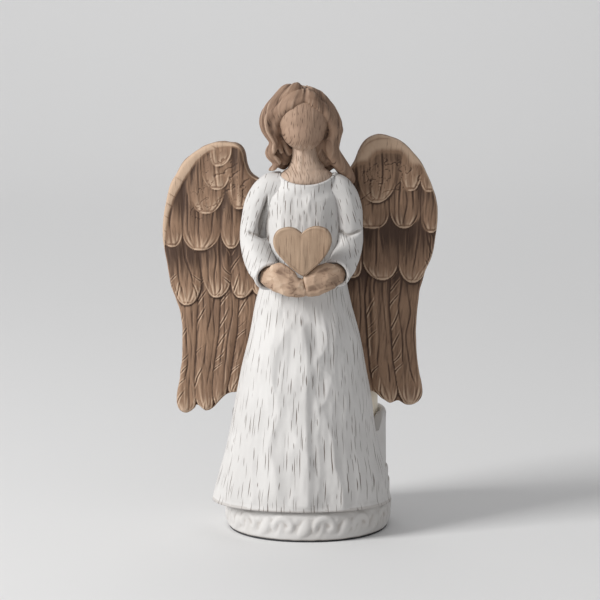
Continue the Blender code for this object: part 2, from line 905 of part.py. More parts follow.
def make_led(material):
    """The small lamp on the circuit board."""
    profile = (
        (0.0, 55.9),
        (0.9, 55.6),
        (LED_RADIUS, 54.6),
        (LED_RADIUS, LED_TOP - 2.4),
        (LED_RADIUS + 0.4, LED_TOP - 2.4),
        (LED_RADIUS + 0.4, BOARD_TOP + GAP),
        (0.0, BOARD_TOP + GAP),
    )
    made = turned("led_lamp", profile, 0.0, CUP_Y, 24)
    paint(made, material)
    return made


def make_board(material):
    """Circuit board on top of the battery chamber."""
    size = (*BOARD_SIZE, BOARD_TOP - BOARD_BOTTOM)
    centre = (0.0, CUP_Y, (BOARD_TOP + BOARD_BOTTOM) / 2.0)
    made = block("circuit_board", size, centre)
    paint(made, material)
    return made


def make_battery(material):
    """Coin cell in the chamber."""
    profile = (
        (0.0, BATTERY_TOP),
        (BATTERY_RADIUS - 0.5, BATTERY_TOP),
        (BATTERY_RADIUS, BATTERY_TOP - 0.5),
        (BATTERY_RADIUS, BATTERY_BOTTOM + 0.6),
        (BATTERY_RADIUS - 1.2, BATTERY_BOTTOM),
        (0.0, BATTERY_BOTTOM),
    )
    made = turned("coin_battery", profile, 0.0, CUP_Y, 32)
    paint(made, material)
    return made


def make_contacts(material):
    """Leaf contact above the cell and strip contact at its side."""
    top = block("battery_contact_top", (9.0, 4.0, 0.4), (0.0, CUP_Y, 42.7))
    side = block("battery_contact_side", (0.5, 5.0, 3.4), (BATTERY_RADIUS + 0.7, CUP_Y, 41.0))
    paint(top, material)
    paint(side, material)
    return top, side


def make_door(material):
    """Battery door with two lugs and a coin slot."""
    profile = (
        (0.0, DOOR_TOP),
        (DOOR_RADIUS, DOOR_TOP),
        (DOOR_RADIUS, DOOR_BOTTOM),
        (0.0, DOOR_BOTTOM),
    )
    made = turned("battery_door", profile, 0.0, CUP_Y, 32)
    size = (2.0 * LUG_REACH, LUG_WIDTH, DOOR_TOP - LUG_BOTTOM)
    centre = (0.0, CUP_Y, (DOOR_TOP + LUG_BOTTOM) / 2.0)
    lugs = block("door_lug_union", size, centre, cutter=True)
    slot = block("coin_slot_cutter", (14.0, 2.0, 1.6), (0.0, CUP_Y, DOOR_BOTTOM), cutter=True)
    join(made, lugs)
    cut(made, slot)
    paint(made, material)
    return made


def make_switch(material):
    """Switch slider, stem in the plate slot and flange above it."""
    stem_top = PLATE_TOP + GAP
    size = (*SWITCH_STEM, stem_top + 1.0 - PLATE_BOTTOM - 0.1)
    z = (PLATE_BOTTOM + 0.1 + stem_top + 1.0) / 2.0
    made = block("switch_slider", size, (0.0, CUP_Y + SWITCH_Y, z))
    flange_centre = (0.0, CUP_Y + SWITCH_Y, stem_top + 0.5)
    flange = block("switch_flange_union", (*SWITCH_FLANGE, 1.0), flange_centre, cutter=True)
    join(made, flange)
    paint(made, material)
    return made


def make_screws(material):
    """Two screws that hold the plate to the candle body."""
    profile = (
        (0.0, SCREW_TOP),
        (SCREW_RADIUS, SCREW_TOP - 1.0),
        (SCREW_RADIUS, SCREW_HEAD_TOP),
        (SCREW_HEAD_RADIUS, SCREW_HEAD_TOP),
        (SCREW_HEAD_RADIUS, SCREW_HEAD_BOTTOM + 0.4),
        (SCREW_HEAD_RADIUS - 0.5, SCREW_HEAD_BOTTOM),
        (0.0, SCREW_HEAD_BOTTOM),
    )
    for label, x in (("left", BOSS_X), ("right", -BOSS_X)):
        made = turned("chassis_screw_" + label, profile, x, BOSS_Y, 16)
        paint(made, material)


def build_stand():
    """Felt, base and cup."""
    make_felt(finish("felt", (0.03, 0.03, 0.035), 0.95))
    plaster = finish("cream_paint", (0.80, 0.78, 0.74), 0.6)
    make_base(plaster)
    make_cup(plaster)


def build_wings(dress_room):
    """Wings, their dowels and the sockets left in the dress."""
    wood = finish("carved_wood_brown", (0.28, 0.19, 0.13), 0.7)
    steel = finish("dowel_steel", (0.55, 0.55, 0.57), 0.35, 1.0)
    sides = (
        ("right", -1.0, RIGHT_WING_OUTLINE, RIGHT_DOWELS),
        ("left", 1.0, LEFT_WING_OUTLINE, LEFT_DOWELS),
    )
    holes = []
    for label, side, outline, dowels in sides:
        rooms = []
        for place, x, z in dowels:
            stem = label + "_wing_dowel_" + place
            make_dowel(stem, x, z, steel)
            rooms.append(dowel_hole(stem + "_room", x, z))
        make_wing(label + "_wing", outline, side, wood, dress_room, rooms)
        holes.extend(rooms)
    return holes


def build_figure():
    """Dress, head, hair, arms, hands, heart and wings."""
    cloth = finish("dress_cream", (0.82, 0.79, 0.74), 0.75)
    skin = finish("skin_tan", (0.52, 0.38, 0.28), 0.7)
    heart_wood = finish("heart_tan", (0.62, 0.47, 0.34), 0.65)
    brown = finish("hair_brown", (0.24, 0.14, 0.09), 0.7)
    dress_room = dress_body("dress_room_cutter", GAP, cutter=True)
    yoke_room = yoke_solid("yoke_room_cutter", GAP, cutter=True)
    holes = build_wings(dress_room)
    make_dress(cloth, yoke_room, holes)
    make_head(skin)
    rooms = [dress_room, yoke_room]
    for label, path in (("right", RIGHT_SLEEVE_PATH), ("left", LEFT_SLEEVE_PATH)):
        make_sleeve(label + "_sleeve", path, cloth, dress_room)
        rooms.append(tube(label + "_arm_room", path, SLEEVE_STEPS, GAP, cutter=True))
    make_hair(brown, rooms)
    heart_room = heart_cutter()
    make_heart(heart_wood)
    make_hand("right_hand", RIGHT_HAND_PATH, skin, [heart_room])
    right_room = palm("right_hand_room", RIGHT_HAND_PATH, HAND_STEPS, GAP, cutter=True)
    make_hand("left_hand", LEFT_HAND_PATH, skin, [heart_room, right_room])


def build_candle():
    """The battery candle standing in the cup."""
    wax = finish("candle_ivory", (0.86, 0.82, 0.72), 0.45)
    black = finish("chassis_black", (0.05, 0.05, 0.055), 0.5)
    amber = finish("flame_amber", (0.90, 0.62, 0.30), 0.3)
    clear = finish("lamp_yellow", (0.90, 0.80, 0.45), 0.2)
    green = finish("board_green", (0.04, 0.22, 0.10), 0.45)
    steel = finish("battery_steel", (0.62, 0.62, 0.64), 0.3, 1.0)
    make_candle_shell(wax)
    make_chassis(black)
    make_flame(amber)
    make_led(clear)
    make_board(green)
    make_battery(steel)
    make_contacts(steel)
    make_door(black)
    make_switch(black)
    make_screws(steel)


def main():
    """Build the whole figurine."""
    clear_scene()
    build_stand()
    build_figure()
    build_candle()
    bpy.context.view_layer.update()


main()
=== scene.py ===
"""Looks of a winged resin figurine with a candle cup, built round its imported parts.

Shapes are worked out in millimetres and turned into metres as each mesh is made.
The figure faces -Y, +X is its left side and the felt pad stands on z = 0.
"""

import logging
import math
from dataclasses import dataclass
from enum import Enum

import bmesh
import bpy
import numpy as np
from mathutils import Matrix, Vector


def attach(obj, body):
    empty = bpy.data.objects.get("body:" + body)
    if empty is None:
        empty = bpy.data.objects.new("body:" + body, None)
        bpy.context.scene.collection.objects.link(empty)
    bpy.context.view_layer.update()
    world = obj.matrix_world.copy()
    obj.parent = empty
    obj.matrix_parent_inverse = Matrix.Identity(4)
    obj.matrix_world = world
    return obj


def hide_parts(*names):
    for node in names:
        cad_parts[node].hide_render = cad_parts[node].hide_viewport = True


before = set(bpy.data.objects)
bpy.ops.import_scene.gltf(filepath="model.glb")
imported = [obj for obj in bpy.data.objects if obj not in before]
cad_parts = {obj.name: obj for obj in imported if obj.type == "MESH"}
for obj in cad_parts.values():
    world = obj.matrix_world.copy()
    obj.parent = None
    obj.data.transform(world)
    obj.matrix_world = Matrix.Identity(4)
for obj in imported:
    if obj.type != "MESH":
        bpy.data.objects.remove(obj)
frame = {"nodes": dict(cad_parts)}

log = logging.getLogger("figurine")

MM = 0.001
BODY = "figurine"
CANDLE_BODY = "candle"

CUP_Y = 7.3
SEAT_Z = 12.3
LIFT_ROOM = 28.4
LIFT_ROOM_TOP = 72.6

Point2 = tuple[float, float]
Point3 = tuple[float, float, float]
Rows = tuple[tuple[float, ...], ...]


class Side(Enum):
    """The figure's own right or left, as a sign along X."""

    RIGHT = -1
    LEFT = 1

    @property
    def label(self) -> str:
        """Lower-case name used in node names."""
        return self.name.lower()


# ---------------------------------------------------------------- number fields


def ramp(value: np.ndarray, low: float, high: float) -> np.ndarray:
    """Smooth step from 0 at low to 1 at high.

    Args:
        value: numbers to map.
        low: where the step starts.
        high: where the step ends; it may be below low.

    Returns:
        Numbers from 0 to 1.
    """
    share = np.clip((value - low) / (high - low), 0.0, 1.0)
    return share * share * (3.0 - 2.0 * share)


def hash01(ix: np.ndarray, iy: np.ndarray, iz: np.ndarray, seed: int) -> np.ndarray:
    """A fixed pseudo-random number from 0 to 1 for each lattice cell.

    Args:
        ix: whole-number cell index along the first axis.
        iy: the same along the second axis.
        iz: the same along the third axis.
        seed: changes the whole pattern.

    Returns:
        One number for each cell.
    """
    mixed = (ix * 73856093) ^ (iy * 19349663) ^ (iz * 83492791) ^ (seed * 26544357)
    mixed = (mixed ^ (mixed >> 13)) * 1274126177
    mixed = mixed ^ (mixed >> 16)
    return (mixed & 0xFFFFFF) / float(0xFFFFFF)


def noise(x: np.ndarray, y: np.ndarray, z: np.ndarray, seed: int) -> np.ndarray:
    """Smooth value noise between -1 and 1.

    Args:
        x: first coordinate in noise cells.
        y: second coordinate in noise cells.
        z: third coordinate in noise cells.
        seed: changes the whole pattern.

    Returns:
        Noise at each point.
    """
    x, y, z = np.broadcast_arrays(x, y, z)
    cells = [np.floor(axis).astype(np.int64) for axis in (x, y, z)]
    parts = [axis - cell for axis, cell in zip((x, y, z), cells)]
    parts = [part * part * (3.0 - 2.0 * part) for part in parts]
    total = np.zeros(x.shape)
    for corner in range(8):
        steps = (corner & 1, (corner >> 1) & 1, (corner >> 2) & 1)
        weight = np.ones(x.shape)
        for part, step in zip(parts, steps):
            weight = weight * (part if step else 1.0 - part)
        corners = [cell + step for cell, step in zip(cells, steps)]
        total += weight * hash01(*corners, seed)
    return total * 2.0 - 1.0


def gouges(u: np.ndarray, v: np.ndarray, wide: float, tall: float, seed: int) -> np.ndarray:
    """Shallow tool scoops with soft ridges between them.

    Args:
        u: distance across the surface.
        v: distance up the surface.
        wide: usual width of a scoop.
        tall: usual height of a scoop.
        seed: changes the whole pattern.

    Returns:
        0 at the middle of a scoop, about 1 on the ridges.
    """
    a = u / wide
    b = v / tall
    cell_a = np.floor(a).astype(np.int64)
    cell_b = np.floor(b).astype(np.int64)
    zero = np.zeros_like(cell_a)
    best = np.full(a.shape, 9.0)
    for step_a in (-1, 0, 1):
        for step_b in (-1, 0, 1):
            ca = cell_a + step_a
            cb = cell_b + step_b
            pa = ca + 0.1 + 0.8 * hash01(ca, cb, zero, seed)
            pb = cb + 0.1 + 0.8 * hash01(ca, cb, zero + 1, seed)
            best = np.minimum(best, (a - pa) ** 2 + (b - pb) ** 2)
    return np.clip(best, 0.0, 1.2)


def flowing(rows: Rows, count: int) -> np.ndarray:
    """Points of a smooth line through the rows, evenly shared between them.

    Args:
        rows: points with any number of values each.
        count: how many points to return.

    Returns:
        Array of count rows.
    """
    known = np.array(rows, float)
    place = np.linspace(0.0, len(known) - 1.0, count)
    return follow(np.arange(len(known), dtype=float), known, place)


def follow(keys: np.ndarray, values: np.ndarray, wanted: np.ndarray) -> np.ndarray:
    """Catmull-Rom values at the wanted keys.

    Args:
        keys: increasing keys of the known rows.
        values: known rows, one for each key.
        wanted: keys to work out.

    Returns:
        One row for each wanted key.
    """
    slopes = np.gradient(values, keys, axis=0)
    index = np.clip(np.searchsorted(keys, wanted, side="right") - 1, 0, len(keys) - 2)
    span = (keys[index + 1] - keys[index])[:, None]
    t = ((wanted - keys[index])[:, None]) / span
    start, end = values[index], values[index + 1]
    rise, fall = slopes[index] * span, slopes[index + 1] * span
    return (
        (2 * t**3 - 3 * t**2 + 1) * start
        + (t**3 - 2 * t**2 + t) * rise
        + (-2 * t**3 + 3 * t**2) * end
        + (t**3 - t**2) * fall
    )


def near_line(x: np.ndarray, z: np.ndarray, line: np.ndarray) -> tuple[np.ndarray, np.ndarray]:
    """Distance to a flat polyline and how far along it the nearest point is.

    Args:
        x: first coordinate of the points.
        z: second coordinate of the points.
        line: polyline of (x, z) rows.

    Returns:
        The distance and the share of the line's points passed, from 0 to 1.
    """
    best = np.full(x.shape, 1e9)
    along = np.zeros(x.shape)
    for index in range(len(line) - 1):
        a, b = line[index], line[index + 1]
        step = b - a
        t = ((x - a[0]) * step[0] + (z - a[1]) * step[1]) / max(step @ step, 1e-9)
        t = np.clip(t, 0.0, 1.0)
        distance = np.hypot(x - a[0] - t * step[0], z - a[1] - t * step[1])
        closer = distance < best
        best = np.where(closer, distance, best)
        along = np.where(closer, (index + t) / (len(line) - 1), along)
    return best, along


# ---------------------------------------------------------------- mesh building


def grid_faces(rows: int, columns: int, wrap: bool, first: int = 0) -> list[tuple[int, ...]]:
    """Quads between neighbouring rows of points.

    Args:
        rows: number of rows.
        columns: points in each row.
        wrap: whether the last column joins the first.
        first: index of the first point.

    Returns:
        Faces as tuples of point indices.
    """
    faces = []
    last = columns if wrap else columns - 1
    for row in range(rows - 1):
        low = first + row * columns
        high = low + columns
        for column in range(last):
            after = (column + 1) % columns
            faces.append((low + column, low + after, high + after, high + column))
    return faces


def capped_faces(rows: int, columns: int) -> list[tuple[int, ...]]:
    """Faces of a wrapped grid, closed by one cap on its first row and one on its last."""
    faces = grid_faces(rows, columns, True)
    faces.append(tuple(range(columns)))
    faces.append(tuple(range((rows - 1) * columns, rows * columns)))
    return faces


def new_object(name: str, points: np.ndarray, faces: list[tuple[int, ...]]) -> bpy.types.Object:
    """Make an object from millimetre points, facing outwards and shaded smooth.

    Args:
        name: object name.
        points: rows of x, y and z in millimetres.
        faces: faces as tuples of point indices.

    Returns:
        The linked object.
    """
    mesh = bpy.data.meshes.new(name)
    mesh.from_pydata((np.asarray(points, float) * MM).tolist(), [], faces)
    work = bmesh.new()
    work.from_mesh(mesh)
    bmesh.ops.recalc_face_normals(work, faces=work.faces)
    work.to_mesh(mesh)
    work.free()
    shade_smooth(mesh)
    made = bpy.data.objects.new(name, mesh)
    bpy.context.scene.collection.objects.link(made)
    return made


def shade_smooth(mesh: bpy.types.Mesh) -> None:
    """Shade every face of a mesh smooth."""
    mesh.polygons.foreach_set("use_smooth", np.ones(len(mesh.polygons), dtype=bool))
    mesh.update()


def points_of(thing: bpy.types.Object) -> np.ndarray:
    """All points of an object's mesh in millimetres."""
    flat = np.empty(len(thing.data.vertices) * 3)
    thing.data.vertices.foreach_get("co", flat)
    return flat.reshape(-1, 3) / MM


def normals_of(thing: bpy.types.Object) -> np.ndarray:
    """Point normals of an object's mesh."""
    flat = np.empty(len(thing.data.vertices) * 3, dtype=np.float32)
    thing.data.vertex_normals.foreach_get("vector", flat)
    return flat.reshape(-1, 3).astype(float)


def set_points(thing: bpy.types.Object, points: np.ndarray) -> None:
    """Write millimetre points back into an object's mesh."""
    thing.data.vertices.foreach_set("co", (points * MM).ravel())
    thing.data.update()


def set_field(thing: bpy.types.Object, name: str, values: np.ndarray) -> None:
    """Store one number or one vector for each point as a named attribute.

    Args:
        thing: object to write to.
        name: attribute name that its material reads.
        values: one row or one number for each point.
    """
    kind = "FLOAT_VECTOR" if values.ndim == 2 else "FLOAT"
    made = thing.data.attributes.new(name, kind, "POINT")
    key = "vector" if values.ndim == 2 else "value"
    made.data.foreach_set(key, values.astype(np.float32).ravel())


def baked(thing: bpy.types.Object) -> bpy.types.Object:
    """Turn an object's modifiers into plain mesh and take them off."""
    bpy.context.view_layer.update()
    graph = bpy.context.evaluated_depsgraph_get()
    mesh = bpy.data.meshes.new_from_object(thing.evaluated_get(graph))
    thing.modifiers.clear()
    old = thing.data
    thing.data = mesh
    mesh.name = thing.name
    bpy.data.meshes.remove(old)
    shade_smooth(mesh)
    return thing


class Clay:
    """Overlapping closed lumps that are pressed into one skin."""

    def __init__(self) -> None:
        """Start with nothing."""
        self.points: list[np.ndarray] = []
        self.faces: list[tuple[int, ...]] = []
        self.count = 0

    def grid(self, rings: np.ndarray) -> None:
        """Add a closed limb from rings of points and cap both ends.

        Args:
            rings: array of ring, point and coordinate.
        """
        rows, columns = rings.shape[:2]
        self.faces += grid_faces(rows, columns, True, self.count)
        first = self.count
        last = self.count + (rows - 1) * columns
        self.faces.append(tuple(range(first + columns - 1, first - 1, -1)))
        self.faces.append(tuple(range(last, last + columns)))
        self.points.append(rings.reshape(-1, 3))
        self.count += rows * columns

    def limb(self, rows: Rows, flat: float = 1.0, facing: Point3 = (0.0, -1.0, 0.0),
             steps: int = 20, count: int = 28) -> None:
        """Add a limb along (x, y, z, radius) rows.

        Args:
            rows: path points with their radius.
            flat: thickness along the facing direction for each unit of width.
            facing: direction that the flat side looks.
            steps: points round the limb.
            count: rings along the limb.
        """
        path = flowing(rows, count)
        along = np.gradient(path[:, :3], axis=0)
        along /= np.linalg.norm(along, axis=1)[:, None]
        face = np.array(facing, float)
        face = face - along * (along @ face)[:, None]
        face /= np.linalg.norm(face, axis=1)[:, None]
        side = np.cross(along, face)
        radius = np.maximum(path[:, 3], 0.15)
        radius = radius * np.sqrt(np.clip(np.minimum(np.arange(count) + 0.6,
                                                     count - np.arange(count) - 0.4) / 2.0, 0, 1))
        angle = np.linspace(0.0, 2.0 * math.pi, steps, endpoint=False)
        rings = (
            path[:, None, :3]
            + side[:, None] * (np.cos(angle)[None, :, None] * radius[:, None, None])
            + face[:, None] * (np.sin(angle)[None, :, None] * radius[:, None, None] * flat)
        )
        self.grid(rings)

    def egg(self, centre: Point3, half: Point3, steps: int = 32) -> None:
        """Add an ellipsoid.

        Args:
            centre: middle of the ellipsoid.
            half: half sizes along X, Y and Z.
            steps: points round it.
        """
        rows = steps // 2
        tilt = np.linspace(-0.5 * math.pi + 0.08, 0.5 * math.pi - 0.08, rows)
        angle = np.linspace(0.0, 2.0 * math.pi, steps, endpoint=False)
        x = np.cos(tilt)[:, None] * np.cos(angle)[None] * half[0]
        y = np.cos(tilt)[:, None] * np.sin(angle)[None] * half[1]
        z = np.sin(tilt)[:, None] * np.ones(steps)[None] * half[2]
        self.grid(np.stack([x, y, z], axis=2) + np.array(centre))

    def skin(self, name: str, voxel: float, soften: int) -> bpy.types.Object:
        """Press the lumps into one closed skin.

        Args:
            name: object name.
            voxel: size of the skin's faces in millimetres.
            soften: rounds of smoothing.

        Returns:
            The object, with no modifiers left.
        """
        made = new_object(name, np.concatenate(self.points), self.faces)
        remesh = made.modifiers.new("skin", "REMESH")
        remesh.mode = "VOXEL"
        remesh.voxel_size = voxel * MM
        smooth = made.modifiers.new("soften", "SMOOTH")
        smooth.iterations = soften
        smooth.factor = 0.5
        return baked(made)


def turned(name: str, profile: Rows, centre: Point2, steps: int,
           hollow: bool = False) -> bpy.types.Object:
    """Turn a profile of (radius, height) about an upright axis.

    Args:
        name: object name.
        profile: outline from the axis or rim down the outer side.
        centre: x and y of the axis.
        steps: points round the axis.
        hollow: whether the profile is a closed loop clear of the axis.

    Returns:
        The object.
    """
    rows = np.array(profile, float)
    if hollow:
        rows = np.vstack([rows, rows[:1]])
    angle = np.linspace(0.0, 2.0 * math.pi, steps, endpoint=False)
    x = centre[0] + rows[:, :1] * np.cos(angle)[None]
    y = centre[1] + rows[:, :1] * np.sin(angle)[None]
    z = rows[:, 1:2] * np.ones(steps)[None]
    points = np.stack([x, y, z], axis=2).reshape(-1, 3)
    made = new_object(name, points, grid_faces(len(rows), steps, True))
    work = bmesh.new()
    work.from_mesh(made.data)
    bmesh.ops.remove_doubles(work, verts=work.verts, dist=0.00001)
    bmesh.ops.dissolve_degenerate(work, edges=work.edges, dist=0.000001)
    bmesh.ops.recalc_face_normals(work, faces=work.faces)
    work.to_mesh(made.data)
    work.free()
    shade_smooth(made.data)
    return made


def rounded(corners: Rows, radius: float, steps: int = 4) -> Rows:
    """Round the corners of an open profile.

    Args:
        corners: profile points.
        radius: how much of each side the rounding takes.
        steps: points in each rounding.

    Returns:
        The finer profile.
    """
    points = [np.array(row, float) for row in corners]
    made = [tuple(points[0])]
    for before, here, after in zip(points, points[1:], points[2:]):
        reach_in = min(radius, 0.45 * np.linalg.norm(here - before))
        reach_out = min(radius, 0.45 * np.linalg.norm(after - here))
        start = here + (before - here) / max(np.linalg.norm(before - here), 1e-9) * reach_in
        end = here + (after - here) / max(np.linalg.norm(after - here), 1e-9) * reach_out
        for step in range(steps + 1):
            t = step / steps
            made.append(tuple((1 - t) ** 2 * start + 2 * t * (1 - t) * here + t * t * end))
    made.append(tuple(points[-1]))
    return tuple(made)


# ---------------------------------------------------------------- finishes


def srgb(red: int, green: int, blue: int) -> tuple[float, float, float, float]:
    """Linear colour with full alpha from 8-bit display values."""
    parts = [value / 255.0 for value in (red, green, blue)]
    linear = [p / 12.92 if p <= 0.04045 else ((p + 0.055) / 1.055) ** 2.4 for p in parts]
    return (linear[0], linear[1], linear[2], 1.0)


class Recipe:
    """A shader tree being written, in a material or in a node group."""

    def __init__(self, tree: bpy.types.NodeTree) -> None:
        """Keep the tree to write to."""
        self.tree = tree

    def put(self, socket: bpy.types.NodeSocket, value: object) -> None:
        """Link a socket to a source or set its own value."""
        if isinstance(value, bpy.types.NodeSocket):
            self.tree.links.new(value, socket)
        else:
            socket.default_value = value

    def node(self, kind: str, inputs: dict[str, object] | None = None,
             **settings: object) -> bpy.types.Node:
        """Add a node.

        Args:
            kind: Blender's node type without its ShaderNode prefix.
            inputs: values or sources for its inputs by name.
            settings: plain properties of the node.

        Returns:
            The node.
        """
        made = self.tree.nodes.new("ShaderNode" + kind)
        for key, value in settings.items():
            setattr(made, key, value)
        for key, value in (inputs or {}).items():
            self.put(made.inputs[key], value)
        return made

    def sum(self, operation: str, *values: object, clamp: bool = False) -> bpy.types.NodeSocket:
        """Add a Math node and return its result.

        Args:
            operation: Blender's name of the operation.
            values: numbers or sources, in order.
            clamp: whether the result is kept from 0 to 1.

        Returns:
            The result socket.
        """
        made = self.node("Math", operation=operation, use_clamp=clamp)
        for socket, value in zip(made.inputs, values):
            self.put(socket, value)
        return made.outputs[0]

    def blend(self, share: object, first: object, second: object,
              mode: str = "MIX") -> bpy.types.NodeSocket:
        """Mix two colours.

        Args:
            share: how much of the second colour.
            first: first colour.
            second: second colour.
            mode: Blender's blend mode.

        Returns:
            The mixed colour.
        """
        made = self.node("Mix", data_type="RGBA", blend_type=mode)
        self.put(made.inputs[0], share)
        self.put(made.inputs[6], first)
        self.put(made.inputs[7], second)
        return made.outputs[2]

    def band(self, value: object, low: float, high: float) -> bpy.types.NodeSocket:
        """Smooth step of a value from low to high."""
        made = self.node("MapRange", interpolation_type="SMOOTHSTEP")
        self.put(made.inputs["Value"], value)
        made.inputs["From Min"].default_value = low
        made.inputs["From Max"].default_value = high
        return made.outputs["Result"]


def open_group(name: str, inputs: dict[str, tuple[str, object]],
               outputs: dict[str, str]) -> tuple[Recipe, bpy.types.Node, bpy.types.Node]:
    """Start a shader node group with named sockets.

    Args:
        name: name of the group.
        inputs: socket type and starting value by input name.
        outputs: socket type by output name.

    Returns:
        The recipe and the group's input and output nodes.
    """
    tree = bpy.data.node_groups.new(name, "ShaderNodeTree")
    for key, (kind, value) in inputs.items():
        socket = tree.interface.new_socket(name=key, in_out="INPUT", socket_type=kind)
        if value is not None:
            socket.default_value = value
    for key, kind in outputs.items():
        tree.interface.new_socket(name=key, in_out="OUTPUT", socket_type=kind)
    source = tree.nodes.new("NodeGroupInput")
    target = tree.nodes.new("NodeGroupOutput")
    return Recipe(tree), source, target


NUMBER = "NodeSocketFloat"
COLOUR = "NodeSocketColor"
VECTOR = "NodeSocketVector"


def marks_group() -> bpy.types.NodeTree:
    """Short engraved strokes that run along the second axis of a millimetre map."""
    if "engraved_marks" in bpy.data.node_groups:
        return bpy.data.node_groups["engraved_marks"]
    recipe, source, target = open_group(
        "engraved_marks",
        {
            "Map": (VECTOR, None),
            "Across": (NUMBER, 2.6),
            "Along": (NUMBER, 9.0),
            "Width": (NUMBER, 0.35),
            "Reach": (NUMBER, 0.45),
            "Waver": (NUMBER, 0.8),
            "Density": (NUMBER, 0.8),
            "Shift": (NUMBER, 0.0),
        },
        {"Mask": NUMBER},
    )
    given = source.outputs
    bend = recipe.node("TexNoise", {"Vector": given["Map"], "Scale": 0.22, "Detail": 2.0})
    sway = recipe.sum("MULTIPLY", recipe.sum("SUBTRACT", bend.outputs["Fac"], 0.5), given["Waver"])
    split = recipe.node("SeparateXYZ", {"Vector": given["Map"]})
    across = recipe.sum("ADD", split.outputs["X"], sway)
    u = recipe.sum("ADD", recipe.sum("DIVIDE", across, given["Across"]), given["Shift"])
    v = recipe.sum("ADD", recipe.sum("DIVIDE", split.outputs["Y"], given["Along"]), given["Shift"])
    scaled = recipe.node("CombineXYZ", {"X": u, "Y": v}).outputs["Vector"]
    cells = recipe.node("TexVoronoi", {"Vector": scaled, "Scale": 1.0, "Randomness": 0.95},
                        voronoi_dimensions="2D", feature="F1")
    spot = recipe.node("SeparateXYZ", {"Vector": cells.outputs["Position"]})
    dice = recipe.node("SeparateColor", {"Color": cells.outputs["Color"]})
    off_u = recipe.sum("ABSOLUTE", recipe.sum("SUBTRACT", u, spot.outputs["X"]))
    off_v = recipe.sum("ABSOLUTE", recipe.sum("SUBTRACT", v, spot.outputs["Y"]))
    away = recipe.sum("MULTIPLY", off_u, given["Across"])
    length = recipe.sum("MULTIPLY", given["Reach"],
                        recipe.sum("MULTIPLY_ADD", dice.outputs["Red"], 0.75, 0.25))
    share = recipe.sum("DIVIDE", off_v, length)
    taper = recipe.sum("SUBTRACT", 1.0, recipe.sum("MULTIPLY", share, share), clamp=True)
    half = recipe.sum("MULTIPLY", recipe.sum("MULTIPLY", given["Width"], 0.5),
                      recipe.sum("MULTIPLY_ADD", dice.outputs["Green"], 0.6, 0.4))
    reach = recipe.sum("MULTIPLY", half, taper)
    inside = recipe.sum("SUBTRACT", reach, away)
    line = recipe.sum("MULTIPLY_ADD", inside, 9.0, 0.35, clamp=True)
    kept = recipe.sum("LESS_THAN", dice.outputs["Blue"], given["Density"])
    there = recipe.sum("GREATER_THAN", taper, 0.02)
    mask = recipe.sum("MULTIPLY", line, recipe.sum("MULTIPLY", kept, there))
    recipe.put(target.inputs["Mask"], mask)
    return recipe.tree


def mottle_group() -> bpy.types.NodeTree:
    """Cloudy change between two tones, with a little fine speckle."""
    if "mottled_tone" in bpy.data.node_groups:
        return bpy.data.node_groups["mottled_tone"]
    recipe, source, target = open_group(
        "mottled_tone",
        {
            "Place": (VECTOR, None),
            "Tone": (COLOUR, None),
            "Second Tone": (COLOUR, None),
            "Cloud Size": (NUMBER, 60.0),
            "Speckle": (NUMBER, 0.15),
        },
        {"Color": COLOUR, "Grit": NUMBER},
    )
    given = source.outputs
    cloud = recipe.node("TexNoise", {"Vector": given["Place"], "Scale": given["Cloud Size"],
                                     "Detail": 4.0, "Roughness": 0.55})
    grit = recipe.node("TexNoise", {"Vector": given["Place"], "Scale": 1500.0, "Detail": 2.0})
    share = recipe.band(cloud.outputs["Fac"], 0.34, 0.68)
    fine = recipe.sum("MULTIPLY", recipe.sum("SUBTRACT", grit.outputs["Fac"], 0.5), given["Speckle"])
    both = recipe.sum("ADD", share, fine, clamp=True)
    recipe.put(target.inputs["Color"], recipe.blend(both, given["Tone"], given["Second Tone"]))
    recipe.put(target.inputs["Grit"], grit.outputs["Fac"])
    return recipe.tree


def wash_and_painted_light_group() -> bpy.types.NodeTree:
    """Dark wash left in the hollows and a rubbed tone on the high places; the same input also lays painted
    shade and painted highlight.
    """
    if "antique_wash" in bpy.data.node_groups:
        return bpy.data.node_groups["antique_wash"]
    recipe, source, target = open_group(
        "antique_wash",
        {
            "Tone": (COLOUR, None),
            "Wash": (COLOUR, None),
            "Rubbed": (COLOUR, None),
            "Hollow": (NUMBER, 0.0),
            "Wash Strength": (NUMBER, 1.0),
            "Rub Strength": (NUMBER, 1.0),
        },
        {"Color": COLOUR},
    )
    given = source.outputs
    low = recipe.sum("MULTIPLY", recipe.band(given["Hollow"], 0.04, 0.75), given["Wash Strength"],
                     clamp=True)
    high = recipe.sum("MULTIPLY", recipe.band(given["Hollow"], -0.04, -0.75), given["Rub Strength"],
                      clamp=True)
    rubbed = recipe.blend(high, given["Tone"], given["Rubbed"])
    recipe.put(target.inputs["Color"], recipe.blend(low, rubbed, given["Wash"]))
    return recipe.tree


def streak_group() -> bpy.types.NodeTree:
    """Fine long streaks along the second axis of a millimetre map."""
    if "fine_streaks" in bpy.data.node_groups:
        return bpy.data.node_groups["fine_streaks"]
    recipe, source, target = open_group(
        "fine_streaks",
        {"Map": (VECTOR, None), "Across": (NUMBER, 0.6), "Along": (NUMBER, 9.0)},
        {"Streak": NUMBER},
    )
    given = source.outputs
    split = recipe.node("SeparateXYZ", {"Vector": given["Map"]})
    u = recipe.sum("DIVIDE", split.outputs["X"], given["Across"])
    v = recipe.sum("DIVIDE", split.outputs["Y"], given["Along"])
    place = recipe.node("CombineXYZ", {"X": u, "Y": v}).outputs["Vector"]
    lines = recipe.node("TexNoise", {"Vector": place, "Scale": 1.0, "Detail": 3.0,
                                     "Roughness": 0.6}, noise_dimensions="2D")
    recipe.put(target.inputs["Streak"], lines.outputs["Fac"])
    return recipe.tree


